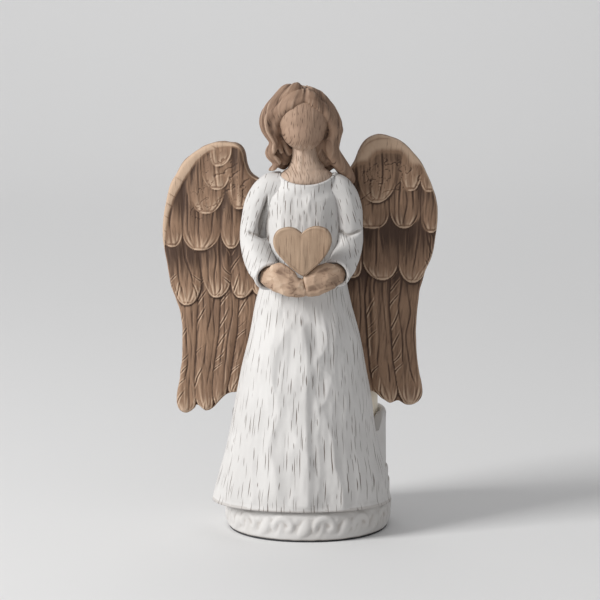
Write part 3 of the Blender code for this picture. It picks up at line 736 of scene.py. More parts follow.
def use_group(recipe: Recipe, tree: bpy.types.NodeTree,
              inputs: dict[str, object]) -> bpy.types.Node:
    """Place a node group in a material.

    Args:
        recipe: material being written.
        tree: group to place.
        inputs: values or sources by input name.

    Returns:
        The group node.
    """
    made = recipe.tree.nodes.new("ShaderNodeGroup")
    made.node_tree = tree
    for key, value in inputs.items():
        recipe.put(made.inputs[key], value)
    return made


def open_material(name: str, roughness: float,
                  metallic: float = 0.0) -> tuple[bpy.types.Material, Recipe, bpy.types.Node]:
    """Start a material with its Principled shader.

    Args:
        name: material name.
        roughness: plain roughness.
        metallic: plain metallic share.

    Returns:
        The material, its recipe and the shader node.
    """
    made = bpy.data.materials.new(name)
    made.use_nodes = True
    shader = made.node_tree.nodes["Principled BSDF"]
    shader.inputs["Roughness"].default_value = roughness
    shader.inputs["Metallic"].default_value = metallic
    return made, Recipe(made.node_tree), shader


@dataclass(frozen=True)
class MarkStyle:
    """One family of engraved strokes, sizes in millimetres."""

    across: float
    along: float
    width: float
    reach: float = 0.45
    waver: float = 0.8
    density: float = 0.8
    shift: float = 0.0

    def place(self, recipe: Recipe, grain: bpy.types.NodeSocket) -> bpy.types.NodeSocket:
        """Add the strokes to a material and return their mask."""
        inputs = {
            "Map": grain,
            "Across": self.across,
            "Along": self.along,
            "Width": self.width,
            "Reach": self.reach,
            "Waver": self.waver,
            "Density": self.density,
            "Shift": self.shift,
        }
        return use_group(recipe, marks_group(), inputs).outputs["Mask"]


@dataclass(frozen=True)
class CarvedPaint:
    """Matt paint over carved resin: mottled tone, washed hollows, painted shade and painted highlight,
    engraved strokes.
    """

    name: str
    tone: tuple[float, float, float, float]
    second: tuple[float, float, float, float]
    # The wash colour also serves as painted shade and the rubbed colour as painted highlight.
    wash: tuple[float, float, float, float]
    rubbed: tuple[float, float, float, float]
    ink: tuple[float, float, float, float]
    marks: tuple[MarkStyle, ...] = ()
    mark_strength: float = 0.85
    wash_strength: float = 0.6
    rub_strength: float = 0.5
    streak: float = 0.0
    streak_across: float = 0.6
    streak_along: float = 9.0
    cloud: float = 55.0
    speckle: float = 0.15
    roughness: float = 0.72
    bump: float = 0.35

    def material(self) -> bpy.types.Material:
        """Build the material once and hand it out again after that."""
        if self.name in bpy.data.materials:
            return bpy.data.materials[self.name]
        made, recipe, shader = open_material(self.name, self.roughness)
        place = recipe.node("TexCoord").outputs["Object"]
        grain = recipe.node("Attribute", attribute_name="grain").outputs["Vector"]
        # The hollow attribute carries the wash and, on some pieces, painted shade and painted highlight.
        hollow = recipe.node("Attribute", attribute_name="hollow").outputs["Fac"]
        tone = use_group(recipe, mottle_group(), {
            "Place": place, "Tone": self.tone, "Second Tone": self.second,
            "Cloud Size": self.cloud, "Speckle": self.speckle})
        colour = tone.outputs["Color"]
        height = recipe.sum("MULTIPLY", tone.outputs["Grit"], 0.12)
        if self.streak > 0.0:
            lines = use_group(recipe, streak_group(), {
                "Map": grain, "Across": self.streak_across, "Along": self.streak_along})
            dark = recipe.band(lines.outputs["Streak"], 0.50, 0.30)
            colour = recipe.blend(recipe.sum("MULTIPLY", dark, self.streak), colour, self.wash)
            height = recipe.sum("SUBTRACT", height, recipe.sum("MULTIPLY", dark, 0.5))
        colour = use_group(recipe, wash_and_painted_light_group(), {
            "Tone": colour, "Wash": self.wash, "Rubbed": self.rubbed, "Hollow": hollow,
            "Wash Strength": self.wash_strength, "Rub Strength": self.rub_strength}).outputs["Color"]
        for style in self.marks:
            mask = style.place(recipe, grain)
            share = recipe.sum("MULTIPLY", mask, self.mark_strength)
            colour = recipe.blend(share, colour, self.ink)
            height = recipe.sum("SUBTRACT", height, mask)
        bump = recipe.node("Bump", {"Height": height, "Strength": self.bump, "Distance": 0.0003})
        recipe.put(shader.inputs["Base Color"], colour)
        recipe.put(shader.inputs["Normal"], bump.outputs["Normal"])
        shader.inputs["Specular IOR Level"].default_value = 0.35
        return made


@dataclass(frozen=True)
class PlainFinish:
    """Plastic, metal or felt: mottled tone with fine grit and a soft bump."""

    name: str
    tone: tuple[float, float, float, float]
    second: tuple[float, float, float, float]
    roughness: float
    metallic: float = 0.0
    cloud: float = 120.0
    grit: float = 0.1
    glow: float = 0.0

    def material(self) -> bpy.types.Material:
        """Build the material once and hand it out again after that."""
        if self.name in bpy.data.materials:
            return bpy.data.materials[self.name]
        made, recipe, shader = open_material(self.name, self.roughness, self.metallic)
        place = recipe.node("TexCoord").outputs["Object"]
        tone = use_group(recipe, mottle_group(), {
            "Place": place, "Tone": self.tone, "Second Tone": self.second,
            "Cloud Size": self.cloud, "Speckle": self.grit})
        bump = recipe.node("Bump", {"Height": tone.outputs["Grit"], "Strength": self.grit,
                                    "Distance": 0.0002})
        recipe.put(shader.inputs["Base Color"], tone.outputs["Color"])
        recipe.put(shader.inputs["Normal"], bump.outputs["Normal"])
        if self.glow > 0.0:
            recipe.put(shader.inputs["Emission Color"], tone.outputs["Color"])
            shader.inputs["Emission Strength"].default_value = self.glow
        return made


# The wash colours below also paint shade, and the rubbed colours paint highlight, where a piece asks for it.
DRESS_PAINT = CarvedPaint(
    "dress_paint", srgb(209, 207, 205), srgb(201, 199, 197), srgb(152, 143, 135),
    srgb(216, 214, 212), srgb(76, 56, 42),
    marks=(
        MarkStyle(2.8, 13.0, 0.44, 0.52, 0.5, 0.84, 0.0),
        MarkStyle(2.2, 8.5, 0.30, 0.46, 0.5, 0.60, 7.3),
    ),
    wash_strength=0.5, rub_strength=0.3, bump=0.3)

BASE_PAINT = CarvedPaint(
    "base_paint", srgb(206, 204, 202), srgb(199, 196, 193), srgb(150, 140, 131),
    srgb(216, 214, 212), srgb(140, 122, 106), wash_strength=0.6, rub_strength=0.3, bump=0.12)

SKIN_PAINT = CarvedPaint(
    "skin_paint", srgb(166, 139, 119), srgb(153, 126, 107), srgb(94, 71, 56),
    srgb(196, 174, 156), srgb(84, 62, 48),
    marks=(
        MarkStyle(1.3, 5.2, 0.32, 0.48, 0.4, 0.78, 0.0),
        MarkStyle(1.0, 3.6, 0.24, 0.44, 0.4, 0.66, 4.1),
    ),
    mark_strength=0.8, wash_strength=0.7, rub_strength=0.8, streak=0.14,
    streak_across=0.5, bump=0.4)

HEART_PAINT = CarvedPaint(
    "heart_paint", srgb(172, 147, 124), srgb(158, 132, 109), srgb(100, 76, 58),
    srgb(206, 184, 161), srgb(90, 66, 48),
    marks=(MarkStyle(1.7, 9.0, 0.26, 0.42, 0.5, 0.66, 2.0),),
    mark_strength=0.7, wash_strength=0.7, rub_strength=0.6, streak=0.26,
    streak_across=0.55, streak_along=12.0, bump=0.4)

HAND_PAINT = CarvedPaint(
    "hand_paint", srgb(180, 153, 131), srgb(164, 137, 115), srgb(100, 76, 60),
    srgb(210, 187, 164), srgb(96, 72, 56),
    marks=(MarkStyle(2.2, 3.4, 0.22, 0.36, 0.8, 0.25, 1.0),),
    mark_strength=0.5, wash_strength=0.8, rub_strength=0.7, bump=0.3)

HAIR_PAINT = CarvedPaint(
    "hair_paint", srgb(150, 123, 103), srgb(130, 104, 86), srgb(60, 42, 32),
    srgb(194, 168, 147), srgb(58, 41, 31),
    marks=(MarkStyle(1.8, 7.5, 0.28, 0.40, 1.0, 0.52, 3.0),),
    mark_strength=0.75, wash_strength=0.95, rub_strength=0.7, streak=0.26,
    streak_across=0.7, streak_along=10.0, bump=0.45)

# The wing wash paints the shade under the feather rows and across the middle; its rubbed colour paints the
# highlight on tips and the leading band.
WING_PAINT = CarvedPaint(
    "wing_paint", srgb(146, 117, 94), srgb(126, 99, 79), srgb(58, 38, 27),
    srgb(200, 174, 150), srgb(56, 38, 28),
    marks=(
        MarkStyle(2.2, 8.0, 0.24, 0.40, 1.2, 0.40, 5.0),
        MarkStyle(1.4, 4.0, 0.18, 0.36, 1.6, 0.30, 9.0),
    ),
    mark_strength=0.6, wash_strength=0.9, rub_strength=0.8, streak=0.34,
    streak_across=0.8, streak_along=12.0, bump=0.45, roughness=0.66)

FELT = PlainFinish("felt", srgb(49, 49, 53), srgb(78, 60, 50), 0.95, cloud=900.0, grit=0.9)
WAX = PlainFinish("wax_look", srgb(236, 228, 210), srgb(229, 219, 198), 0.48, cloud=45.0)
BLACK = PlainFinish("moulded_black", srgb(34, 34, 36), srgb(44, 44, 46), 0.5, grit=0.3)
AMBER = PlainFinish("flame_amber", srgb(238, 196, 120), srgb(246, 214, 150), 0.3, glow=0.25)
LAMP = PlainFinish("lamp_yellow", srgb(240, 226, 160), srgb(248, 238, 190), 0.2)
BOARD = PlainFinish("board_green", srgb(26, 92, 54), srgb(20, 78, 44), 0.42, cloud=400.0)
STEEL = PlainFinish("plated_steel", srgb(190, 190, 194), srgb(168, 168, 172), 0.3, 1.0,
                    cloud=300.0)


# ---------------------------------------------------------------- shared sculpting


def eased(thing: bpy.types.Object, values: np.ndarray, rounds: int) -> np.ndarray:
    """Average a number over each point's neighbours, several times.

    Args:
        thing: object whose edges say which points are neighbours.
        values: one number for each point.
        rounds: how many times to average.

    Returns:
        The averaged numbers.
    """
    edges = np.empty(len(thing.data.edges) * 2, dtype=np.int32)
    thing.data.edges.foreach_get("vertices", edges)
    edges = edges.reshape(-1, 2)
    count = len(values)
    degree = np.bincount(edges.ravel(), minlength=count).astype(float)
    degree = np.maximum(degree, 1.0)
    made = values.astype(float)
    for _ in range(rounds):
        total = np.bincount(edges[:, 0], weights=made[edges[:, 1]], minlength=count)
        total += np.bincount(edges[:, 1], weights=made[edges[:, 0]], minlength=count)
        made = 0.4 * made + 0.6 * total / degree
    return made


def beside_line(x: np.ndarray, z: np.ndarray, line: np.ndarray) -> np.ndarray:
    """Distance to a flat polyline, positive on the left of its direction.

    Args:
        x: first coordinate of the points.
        z: second coordinate of the points.
        line: polyline of (x, z) rows.

    Returns:
        The signed distance.
    """
    best = np.full(x.shape, 1e9)
    signed = np.zeros(x.shape)
    for a, b in zip(line[:-1], line[1:]):
        step = b - a
        t = ((x - a[0]) * step[0] + (z - a[1]) * step[1]) / max(step @ step, 1e-9)
        t = np.clip(t, 0.0, 1.0)
        off_x, off_z = x - a[0] - t * step[0], z - a[1] - t * step[1]
        distance = np.hypot(off_x, off_z)
        closer = distance < best
        best = np.where(closer, distance, best)
        side = np.sign(step[0] * off_z - step[1] * off_x)
        signed = np.where(closer, side * distance, signed)
    return signed


def dress_piece(piece: bpy.types.Object, finish: bpy.types.Material, slot: str, body: str,
                *nodes: str) -> bpy.types.Object:
    """Give a finished piece its material and body, and hide the CAD nodes that it replaces.

    Args:
        piece: finished object.
        finish: its material.
        slot: the record's material slot; not used.
        body: the body it rides on.
        nodes: CAD nodes that it replaces.

    Returns:
        The piece.
    """
    piece.data.materials.clear()
    piece.data.materials.append(finish)
    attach(piece, body)
    if nodes:
        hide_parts(*nodes)
    log.info("%s: %d faces on %s", piece.name, len(piece.data.polygons), body)
    return piece


# ---------------------------------------------------------------- wings


@dataclass(frozen=True)
class Feather:
    """One carved feather: its two borders, its tip and how high it stands."""

    left: Rows
    right: Rows
    tip: Point2
    shoulder: float
    lift: float
    crown: float = 0.7
    ribs: tuple[float, ...] = (-0.35, 0.3)
    barbs_left: bool = False
    barbs_right: bool = False

    def borders(self, z: np.ndarray) -> tuple[np.ndarray, np.ndarray]:
        """Middle and half width of the feather at each height.

        Args:
            z: heights.

        Returns:
            The middle and the half width, narrowed to nothing at the tip.
        """
        ends = []
        for rows in (self.left, self.right):
            table = np.array(sorted(rows, key=lambda row: row[1]), float)
            ends.append(np.interp(z, table[:, 1], table[:, 0]))
        middle = 0.5 * (ends[0] + ends[1])
        half = 0.5 * (ends[1] - ends[0])
        drop = np.clip((self.shoulder - z) / (self.shoulder - self.tip[1]), 0.0, 1.0)
        half = half * np.sqrt(np.clip(1.0 - drop**2, 0.0, 1.0))
        half = np.where(z < self.tip[1], 0.0, half)
        middle = middle + (self.tip[0] - middle) * drop**2
        return middle, half

    def lay(self, x: np.ndarray, z: np.ndarray, height: np.ndarray, tone: np.ndarray,
            seed: int) -> np.ndarray:
        """Lay this feather over the relief made so far.

        Args:
            x: first coordinate of the points.
            z: heights of the points.
            height: relief so far.
            tone: painted shade and painted highlight as darkness from -1 to 1; changed in place.
            seed: keeps each feather's grooves its own.

        Returns:
            The relief with this feather on it.
        """
        middle, half = self.borders(z)
        wide = np.maximum(half, 0.2)
        share = (x - middle) / wide
        inside = wide - np.abs(x - middle)
        tall = np.maximum(z - self.tip[1], 0.0)
        inside = np.where(half > 0.05, np.minimum(inside, tall * 0.9), -1.0)
        worn = 0.65 + 0.35 * noise(x / 3.0, z / 3.0, x * 0, seed + 9)
        lip = (0.04 + 0.96 * ramp(tall, 10.0, 2.0)) * worn
        body = self.lift + self.crown * (1.0 - np.clip(np.abs(share), 0, 1) ** 2.6)
        body -= 0.42 * lip * np.exp(-(((inside - 1.05) / 0.40) ** 2))
        body += 0.38 * lip * np.exp(-(((inside - 0.35) / 0.34) ** 2))
        flute = noise(x / 3.3 + 0.9 * noise(z / 15.0, x / 8.0, x * 0, seed + 5), z / 30.0,
                      x * 0 + 0.3, seed + 1)
        body += 0.58 * np.clip(flute, -0.9, 0.5) * ramp(inside, 0.5, 2.0)
        for number, rib in enumerate(self.ribs):
            sway = 0.20 * noise(z / 11.0, np.full_like(z, number * 3.1), x * 0.0, seed)
            fade = ramp(inside, 0.6, 2.4) * (0.35 + 0.65 * ramp(
                noise(z / 7.0, np.full_like(z, number * 5.7), x * 0.0, seed + 2), -0.5, 0.3))
            across = (share - rib - sway) * wide
            body -= 0.40 * fade * np.exp(-((across / 0.38) ** 2))
        fine = noise(x / 0.7 + 0.7 * noise(z / 8.0, x / 6.0, x * 0, seed + 3), z / 9.0,
                     x * 0 + 0.5, seed + 7)
        body += 0.26 * np.minimum(fine, 0.0) * ramp(inside, 0.4, 1.4)
        for wanted, sign in ((self.barbs_left, -1.0), (self.barbs_right, 1.0)):
            if not wanted:
                continue
            edge = wide - sign * (x - middle)
            step = 7.4
            slant = (z - edge * 1.7) / step + 0.55 * noise(z / 7.0, x * 0, x * 0, seed + 11)
            cut = np.abs(slant - np.round(slant)) * step
            there = ramp(hash01(np.round(slant).astype(np.int64), np.full(x.shape, seed),
                                np.zeros(x.shape, dtype=np.int64), 13), 0.2, 0.45)
            zone = ramp(edge, 4.4, 2.2) * ramp(edge, 0.0, 0.5) * there
            body -= 0.40 * zone * np.exp(-((cut / 0.42) ** 2))
            body += 0.30 * zone * np.exp(-(((cut - 0.95) / 0.5) ** 2))
        mask = ramp(inside, -0.15, 0.40)
        # Painted shade: each feather darkens towards its root, under the row that overlaps it, and more on
        # the upper rows; a painted highlight lightens its tip.
        high = ramp(z, 92.0, 104.0)
        shade_and_highlight = (0.18 + 0.42 * high) * ramp(tall, 6.0, 22.0) - 0.36 * ramp(tall, 9.0, 1.0)
        tone[:] = tone * (1.0 - mask) + shade_and_highlight * mask
        return height * (1.0 - mask) + body * mask


@dataclass
class WingForm:
    """One carved wing: a swept slab whose front carries rows of feathers."""

    side: Side
    outline: Rows
    feathers: tuple[Feather, ...]
    band: Rows
    crackle: tuple[Point3, ...]
    band_edge: float
    band_highlight: float
    band_flakes: float
    middle_shade: float
    plane: float = -5.9
    half: float = 2.35
    sweep: float = 7.0
    hinge: float = 20.0
    voxel: float = 0.34

    def slab(self) -> bpy.types.Object:
        """Flat slab of the outline with softened edges, as one even skin."""
        line = flowing(self.outline + self.outline[:1], 6 * len(self.outline))[:-1]
        centre = line.mean(axis=0)
        rows = []
        for inset, depth in ((1.3, -self.half), (0.4, -self.half + 0.5), (0.0, -self.half + 1.4),
                             (0.0, self.half - 1.0), (0.4, self.half - 0.3), (1.1, self.half)):
            after = np.roll(line, -1, axis=0) - np.roll(line, 1, axis=0)
            after /= np.linalg.norm(after, axis=1)[:, None]
            inward = np.stack([-after[:, 1], after[:, 0]], axis=1)
            if ((centre - line) * inward).sum() < 0:
                inward = -inward
            ring = line + inward * inset
            rows.append(np.column_stack([ring[:, 0], np.full(len(ring), depth), ring[:, 1]]))
        lump = Clay()
        lump.grid(np.array(rows))
        return lump.skin(self.side.label + "_wing_carved", self.voxel, 3)

    def relief(self, x: np.ndarray, z: np.ndarray) -> tuple[np.ndarray, np.ndarray]:
        """Height of the carved front above the slab, and its painted shade and highlight.

        Args:
            x: first coordinate of the points.
            z: heights of the points.

        Returns:
            Heights in millimetres, and painted shade and highlight as darkness from -1 to 1.
        """
        height = -0.175 * gouges(x + 40.0, z, 5.0, 16.0, 3)
        tone = np.zeros(x.shape)
        for number, feather in enumerate(self.feathers):
            height = feather.lay(x, z, height, tone, number + 1)
        for number, (wx, wz, size) in enumerate(self.crackle):
            reach = np.hypot((x - wx) * 1.1, z - wz)
            zone = ramp(reach, size * 1.2, size * 0.5)
            along, across = 0.8 * x + 0.6 * z, 0.8 * z - 0.6 * x
            lines = noise(along / 3.1 + 1.3 * noise(x / 1.9, z / 2.3, x * 0, number + 20),
                          across / 3.7, x * 0, number + 30)
            height -= 0.34 * zone * np.exp(-((lines / 0.07) ** 2))
        line = flowing(self.band, 60)
        outward = -1.0 if self.side is Side.RIGHT else 1.0
        beyond = beside_line(x, z, line) * outward
        flake = noise(z / 5.5 + x / 9.0, x * 0, x * 0, 17)
        lifted = 2.9 + 0.9 * (1.0 - np.clip(np.abs(beyond - 2.2) / 3.2, 0, 1) ** 2)
        lifted -= 0.22 * gouges(x, z, 4.0, 7.0, 9)
        lifted -= self.band_flakes * np.exp(-((flake / 0.07) ** 2))
        share = ramp(beyond, -self.band_edge, self.band_edge) * self.on_band(z, line)
        height = height * (1.0 - share) + lifted * share
        # Painted shade across the middle height of the wing.
        tone += self.middle_shade * ramp(z, 92.0, 112.0) * ramp(z, 150.0, 126.0)
        # Painted highlight on the leading band.
        tone = tone * (1.0 - share) - self.band_highlight * share
        return height, tone

    def on_band(self, z: np.ndarray, line: np.ndarray) -> np.ndarray:
        """1 beside the leading band and 0 past its ends."""
        low = line[:, 1].min()
        return ramp(z, low - 5.0, low + 1.0)

    def swept(self, points: np.ndarray) -> np.ndarray:
        """Bend the part beyond the hinge line back and set the slab at its place."""
        made = points.copy()
        past = np.maximum(np.abs(points[:, 0]) - self.hinge, 0.0)
        turn = math.radians(self.sweep)
        made[:, 0] = np.sign(points[:, 0]) * (np.minimum(np.abs(points[:, 0]), self.hinge)
                                              + past * math.cos(turn)
                                              - points[:, 1] * math.sin(turn) * (past > 0))
        made[:, 1] = self.plane + points[:, 1] * np.where(past > 0, math.cos(turn), 1.0)
        made[:, 1] += past * math.sin(turn)
        reach = np.clip(LIFT_ROOM**2 - made[:, 0] ** 2, 0.0, None)
        deep = np.clip((points[:, 1] + self.half) / (2.0 * self.half), 0.0, 1.0)
        wall = CUP_Y - np.sqrt(reach) - 0.7 * (1.0 - deep)
        low = ramp(made[:, 2], LIFT_ROOM_TOP + 2.5, LIFT_ROOM_TOP) * (reach > 0.0)
        made[:, 1] -= low * np.clip(made[:, 1] - wall, 0.0, None)
        return made

    def build(self) -> bpy.types.Object:
        """Carve the wing and put it in place.

        Returns:
            The finished object.
        """
        thing = self.slab()
        points = points_of(thing)
        normals = normals_of(thing)
        x, z = points[:, 0], points[:, 2]
        height, tone = self.relief(x, z)
        front = ramp(-normals[:, 1], 0.15, 0.75)
        back = ramp(normals[:, 1], 0.15, 0.75)
        rear = 0.45 * gouges(x, z, 6.0, 19.0, 21) + 0.25 * noise(x / 1.3, z / 12.0, x * 0, 5)
        points[:, 1] -= (height - 1.6) * front * 0.72
        points[:, 1] += (rear - 0.45) * back * 0.8
        edge = ramp(front + back, 0.9, 0.2)
        points += normals * (0.22 * noise(x / 2.6, z / 4.2, points[:, 1] / 3.0, 31) * edge)[:, None]
        carved = height * front + rear * back
        hollow = (eased(thing, carved, 8) - carved) * np.maximum(front, back) / 0.30
        # The painted shade and highlight from the relief are added to the wash on the front.
        hollow += tone * front - 0.25 * edge
        set_field(thing, "hollow", np.clip(hollow, -1.0, 1.0))
        flow = 0.10 * (z - 100.0) * (-1.0 if self.side is Side.LEFT else 1.0)
        set_field(thing, "grain", np.column_stack([x + flow, z, points[:, 1]]))
        set_points(thing, self.swept(points))
        return thing


RIGHT_FEATHERS = (
    Feather(((-23.0, 92.0), (-23.0, 54.0)), ((-12.0, 92.0), (-12.0, 54.0)), (-20.0, 52.0), 58.0, 0.0),
    Feather(((-27.6, 96.0), (-28.4, 78.9), (-31.5, 60.0), (-33.2, 54.0)),
            ((-20.0, 96.0), (-21.5, 80.0), (-27.0, 60.0), (-28.0, 54.0)),
            (-29.9, 53.0), 59.0, 0.25, 0.8, (0.0,), True),
    Feather(((-35.1, 96.0), (-35.9, 78.8), (-38.2, 63.7), (-39.0, 56.1), (-38.2, 48.0)),
            ((-27.4, 96.0), (-28.2, 78.9), (-31.3, 60.0), (-33.0, 54.0), (-34.0, 48.0)),
            (-36.0, 47.2), 55.0, 0.55, 0.9, (-0.4, 0.25), True),
    Feather(((-44.4, 96.0), (-45.6, 71.2), (-46.4, 59.9), (-45.4, 48.0)),
            ((-34.9, 96.0), (-35.7, 78.8), (-38.0, 63.7), (-38.6, 56.1), (-38.0, 48.0)),
            (-41.3, 45.8), 52.5, 0.75, 1.0, (-0.45, 0.05, 0.5), True),
    Feather(((-58.0, 96.0), (-54.4, 88.0), (-52.2, 78.0), (-52.4, 65.0), (-54.3, 52.0)),
            ((-44.0, 96.0), (-45.2, 71.2), (-46.0, 59.9), (-45.2, 48.0)),
            (-49.8, 44.8), 52.0, 0.95, 1.0, (-0.1, 0.45), True),
    Feather(((-24.0, 118.0), (-22.6, 97.0)), ((-12.0, 118.0), (-12.0, 97.0)), (-18.0, 94.0), 100.0, 1.5),
    Feather(((-30.9, 121.0), (-30.9, 97.0)), ((-20.6, 121.0), (-20.6, 97.0)),
            (-26.6, 92.9), 101.5, 1.55, 0.9, (-0.3, 0.2), True),
    Feather(((-44.4, 121.0), (-43.9, 109.0), (-41.6, 96.0)), ((-30.5, 121.0), (-30.4, 96.0)),
            (-36.6, 92.9), 102.0, 1.7, 0.9, (-0.5, -0.1, 0.35), False, True),
    Feather(((-60.0, 121.0), (-58.6, 109.0), (-54.6, 96.0)), ((-43.6, 121.0), (-43.2, 108.0), (-42.6, 96.0)),
            (-48.9, 89.6), 100.0, 1.9, 0.9, (-0.2, 0.3), True, True),
    Feather(((-26.6, 142.0), (-26.6, 117.0)), ((-12.0, 142.0), (-12.0, 117.0)), (-20.0, 112.4), 120.0, 2.3),
    Feather(((-34.9, 142.0), (-34.9, 118.0)), ((-26.0, 142.0), (-26.0, 116.0)),
            (-30.4, 112.9), 121.0, 2.35, 0.8, (0.1,)),
    Feather(((-50.9, 142.0), (-50.9, 117.5)), ((-34.4, 142.0), (-34.4, 117.5)),
            (-43.4, 111.9), 121.5, 2.45, 0.9, (-0.5, 0.0, 0.5)),
    Feather(((-61.0, 142.0), (-59.6, 117.5)), ((-50.4, 142.0), (-50.4, 117.5)),
            (-54.7, 113.2), 119.0, 2.6, 0.6, (0.0,)),
    Feather(((-32.2, 152.0), (-32.0, 136.0)), ((-20.0, 152.0), (-21.0, 134.0)),
            (-27.0, 128.9), 139.0, 2.75, 0.6, (0.2,)),
    Feather(((-48.9, 150.0), (-48.6, 136.0)), ((-32.6, 150.0), (-32.6, 133.0)),
            (-40.6, 126.9), 138.0, 2.85, 0.8, (-0.3, 0.3)),
    Feather(((-43.4, 156.0), (-42.6, 143.0)), ((-30.4, 156.0), (-30.4, 141.0)),
            (-36.0, 136.6), 145.0, 3.1, 0.7, (0.0,)),
    Feather(((-39.2, 158.0), (-38.9, 151.0)), ((-29.5, 158.0), (-30.0, 150.0)),
            (-35.6, 146.0), 152.0, 3.3, 0.5, ()),
)

LEFT_FEATHERS = (
    Feather(((10.0, 104.0), (20.0, 60.0)), ((24.4, 104.0), (23.8, 79.3), (25.3, 64.2), (27.0, 56.7)),
            (26.0, 53.0), 60.0, 0.0, 0.6, (0.3,)),
    Feather(((24.4, 106.0), (22.9, 94.2), (23.9, 79.3), (25.1, 64.2), (26.6, 56.0), (28.6, 52.0)),
            ((33.6, 106.0), (32.9, 90.6), (33.7, 79.3), (34.5, 68.1), (36.3, 56.8), (36.6, 52.0)),
            (32.9, 50.0), 58.5, 0.6, 1.1, (-0.2, 0.35), True),
    Feather(((33.3, 106.0), (32.6, 90.6), (33.4, 79.3), (34.2, 68.1), (36.1, 56.8), (36.8, 52.0)),
            ((47.4, 106.0), (45.2, 90.6), (44.9, 79.4), (45.6, 64.4), (47.2, 56.9), (46.6, 52.0)),
            (41.4, 49.2), 57.5, 0.9, 1.1, (-0.3, 0.2, 0.6), True),
    Feather(((8.0, 128.0), (8.0, 104.0)), ((22.2, 128.0), (21.6, 103.0)), (17.5, 101.4), 108.0, 1.4),
    Feather(((21.7, 128.0), (21.7, 106.0)), ((36.4, 128.0), (36.4, 106.0)),
            (29.9, 100.6), 109.5, 1.6, 1.0, (-0.35, 0.15)),
    Feather(((36.0, 128.0), (36.0, 106.0)), ((53.4, 128.0), (51.0, 110.0), (48.6, 103.0)),
            (42.0, 99.5), 109.0, 1.8, 1.1, (-0.45, 0.1, 0.55), False, True),
    Feather(((10.0, 146.0), (14.0, 124.0)), ((32.6, 146.0), (32.6, 125.5)),
            (25.8, 121.4), 129.0, 2.2, 0.8, (-0.2, 0.3)),
    Feather(((32.4, 148.0), (32.4, 126.0)), ((45.2, 148.0), (45.2, 125.5)),
            (38.4, 121.4), 130.5, 2.35, 1.0, (-0.4, 0.0, 0.45)),
    Feather(((45.0, 142.0), (45.0, 125.0)), ((54.6, 142.0), (54.0, 120.0)),
            (49.2, 119.6), 127.0, 2.5, 0.7, (0.0,)),
    Feather(((44.8, 150.0), (44.8, 140.0)), ((53.0, 150.0), (53.0, 136.0)),
            (48.4, 136.0), 141.5, 2.7, 0.6, ()),
    Feather(((36.2, 154.0), (36.2, 140.0)), ((45.4, 154.0), (45.4, 142.0)),
            (41.0, 136.4), 144.0, 2.75, 0.6, (0.1,)),
    Feather(((19.6, 152.0), (20.0, 138.0)), ((36.3, 152.0), (35.6, 138.0)),
            (27.2, 131.8), 143.0, 2.9, 0.8, (-0.3, 0.3)),
)

RIGHT_WING = WingForm(
    Side.RIGHT,
    outline=(
        (-2.6, 134.0), (-13.0, 138.6), (-21.6, 142.6), (-24.2, 147.0), (-25.4, 152.4),
        (-27.4, 155.0), (-30.4, 155.9), (-37.4, 155.8), (-44.9, 152.3), (-50.1, 147.8),
        (-53.4, 142.6), (-55.8, 138.2), (-57.3, 132.2), (-58.4, 126.2), (-58.9, 120.0),
        (-58.6, 113.6), (-57.5, 107.4), (-56.0, 98.4), (-53.2, 90.4), (-51.6, 84.6),
        (-51.2, 78.1), (-51.6, 65.2), (-53.6, 52.4), (-53.0, 47.4), (-50.0, 45.4),
        (-46.8, 47.0), (-45.2, 48.8), (-41.6, 46.6), (-38.4, 48.2), (-34.4, 52.4),
        (-31.4, 54.2), (-28.6, 54.6), (-24.6, 56.6), (-21.8, 62.0), (-20.6, 70.0),
        (-18.8, 75.2), (-17.2, 80.0), (-14.6, 88.0), (-10.0, 96.0), (-2.6, 102.0)),
    feathers=RIGHT_FEATHERS,
    band=((-21.0, 146.0), (-24.5, 151.9), (-29.3, 153.9), (-35.6, 153.4), (-40.8, 151.0),
          (-44.5, 147.4), (-48.3, 142.2), (-50.9, 137.8), (-53.5, 133.3), (-55.0, 128.8),
          (-56.2, 125.1), (-56.9, 119.1), (-57.3, 116.1)),
    crackle=((-34.6, 143.0, 9.0), (-27.6, 138.0, 7.0), (-40.5, 131.0, 9.0)),
    band_edge=0.8, band_highlight=0.62, band_flakes=0.34, middle_shade=0.12)

LEFT_WING = WingForm(
    Side.LEFT,
    outline=(
        (1.8, 134.0), (11.0, 139.0), (17.8, 147.2), (20.0, 152.2), (22.8, 156.6),
        (26.4, 158.8), (30.6, 158.9), (36.4, 157.0), (40.9, 153.5), (45.4, 148.0),
        (49.1, 140.7), (51.6, 132.7), (52.2, 126.4), (51.6, 118.8), (50.0, 110.3),
        (47.2, 103.6), (45.4, 97.2), (44.4, 90.8), (43.9, 82.6), (44.0, 72.8),
        (45.0, 64.5), (46.3, 56.9), (46.0, 52.6), (43.6, 50.2), (40.0, 49.8),
        (36.6, 51.6), (33.2, 50.6), (30.4, 52.0), (27.6, 54.6), (23.6, 56.8),
        (20.8, 62.0), (19.8, 70.0), (18.2, 75.2), (17.2, 80.0), (14.6, 88.0), (9.4, 96.0),
        (1.8, 102.0)),
    feathers=LEFT_FEATHERS,
    band=((15.0, 143.0), (19.7, 147.0), (24.1, 148.5), (27.0, 151.4), (30.7, 152.2),
          (37.3, 151.5), (41.0, 147.2), (45.4, 146.5), (48.4, 143.6)),
    crackle=((24.6, 138.6, 8.0), (32.0, 143.0, 8.0), (40.0, 141.5, 7.0)),
    band_edge=2.6, band_highlight=0.55, band_flakes=0.0, middle_shade=0.20)


# ---------------------------------------------------------------- dress and sleeves


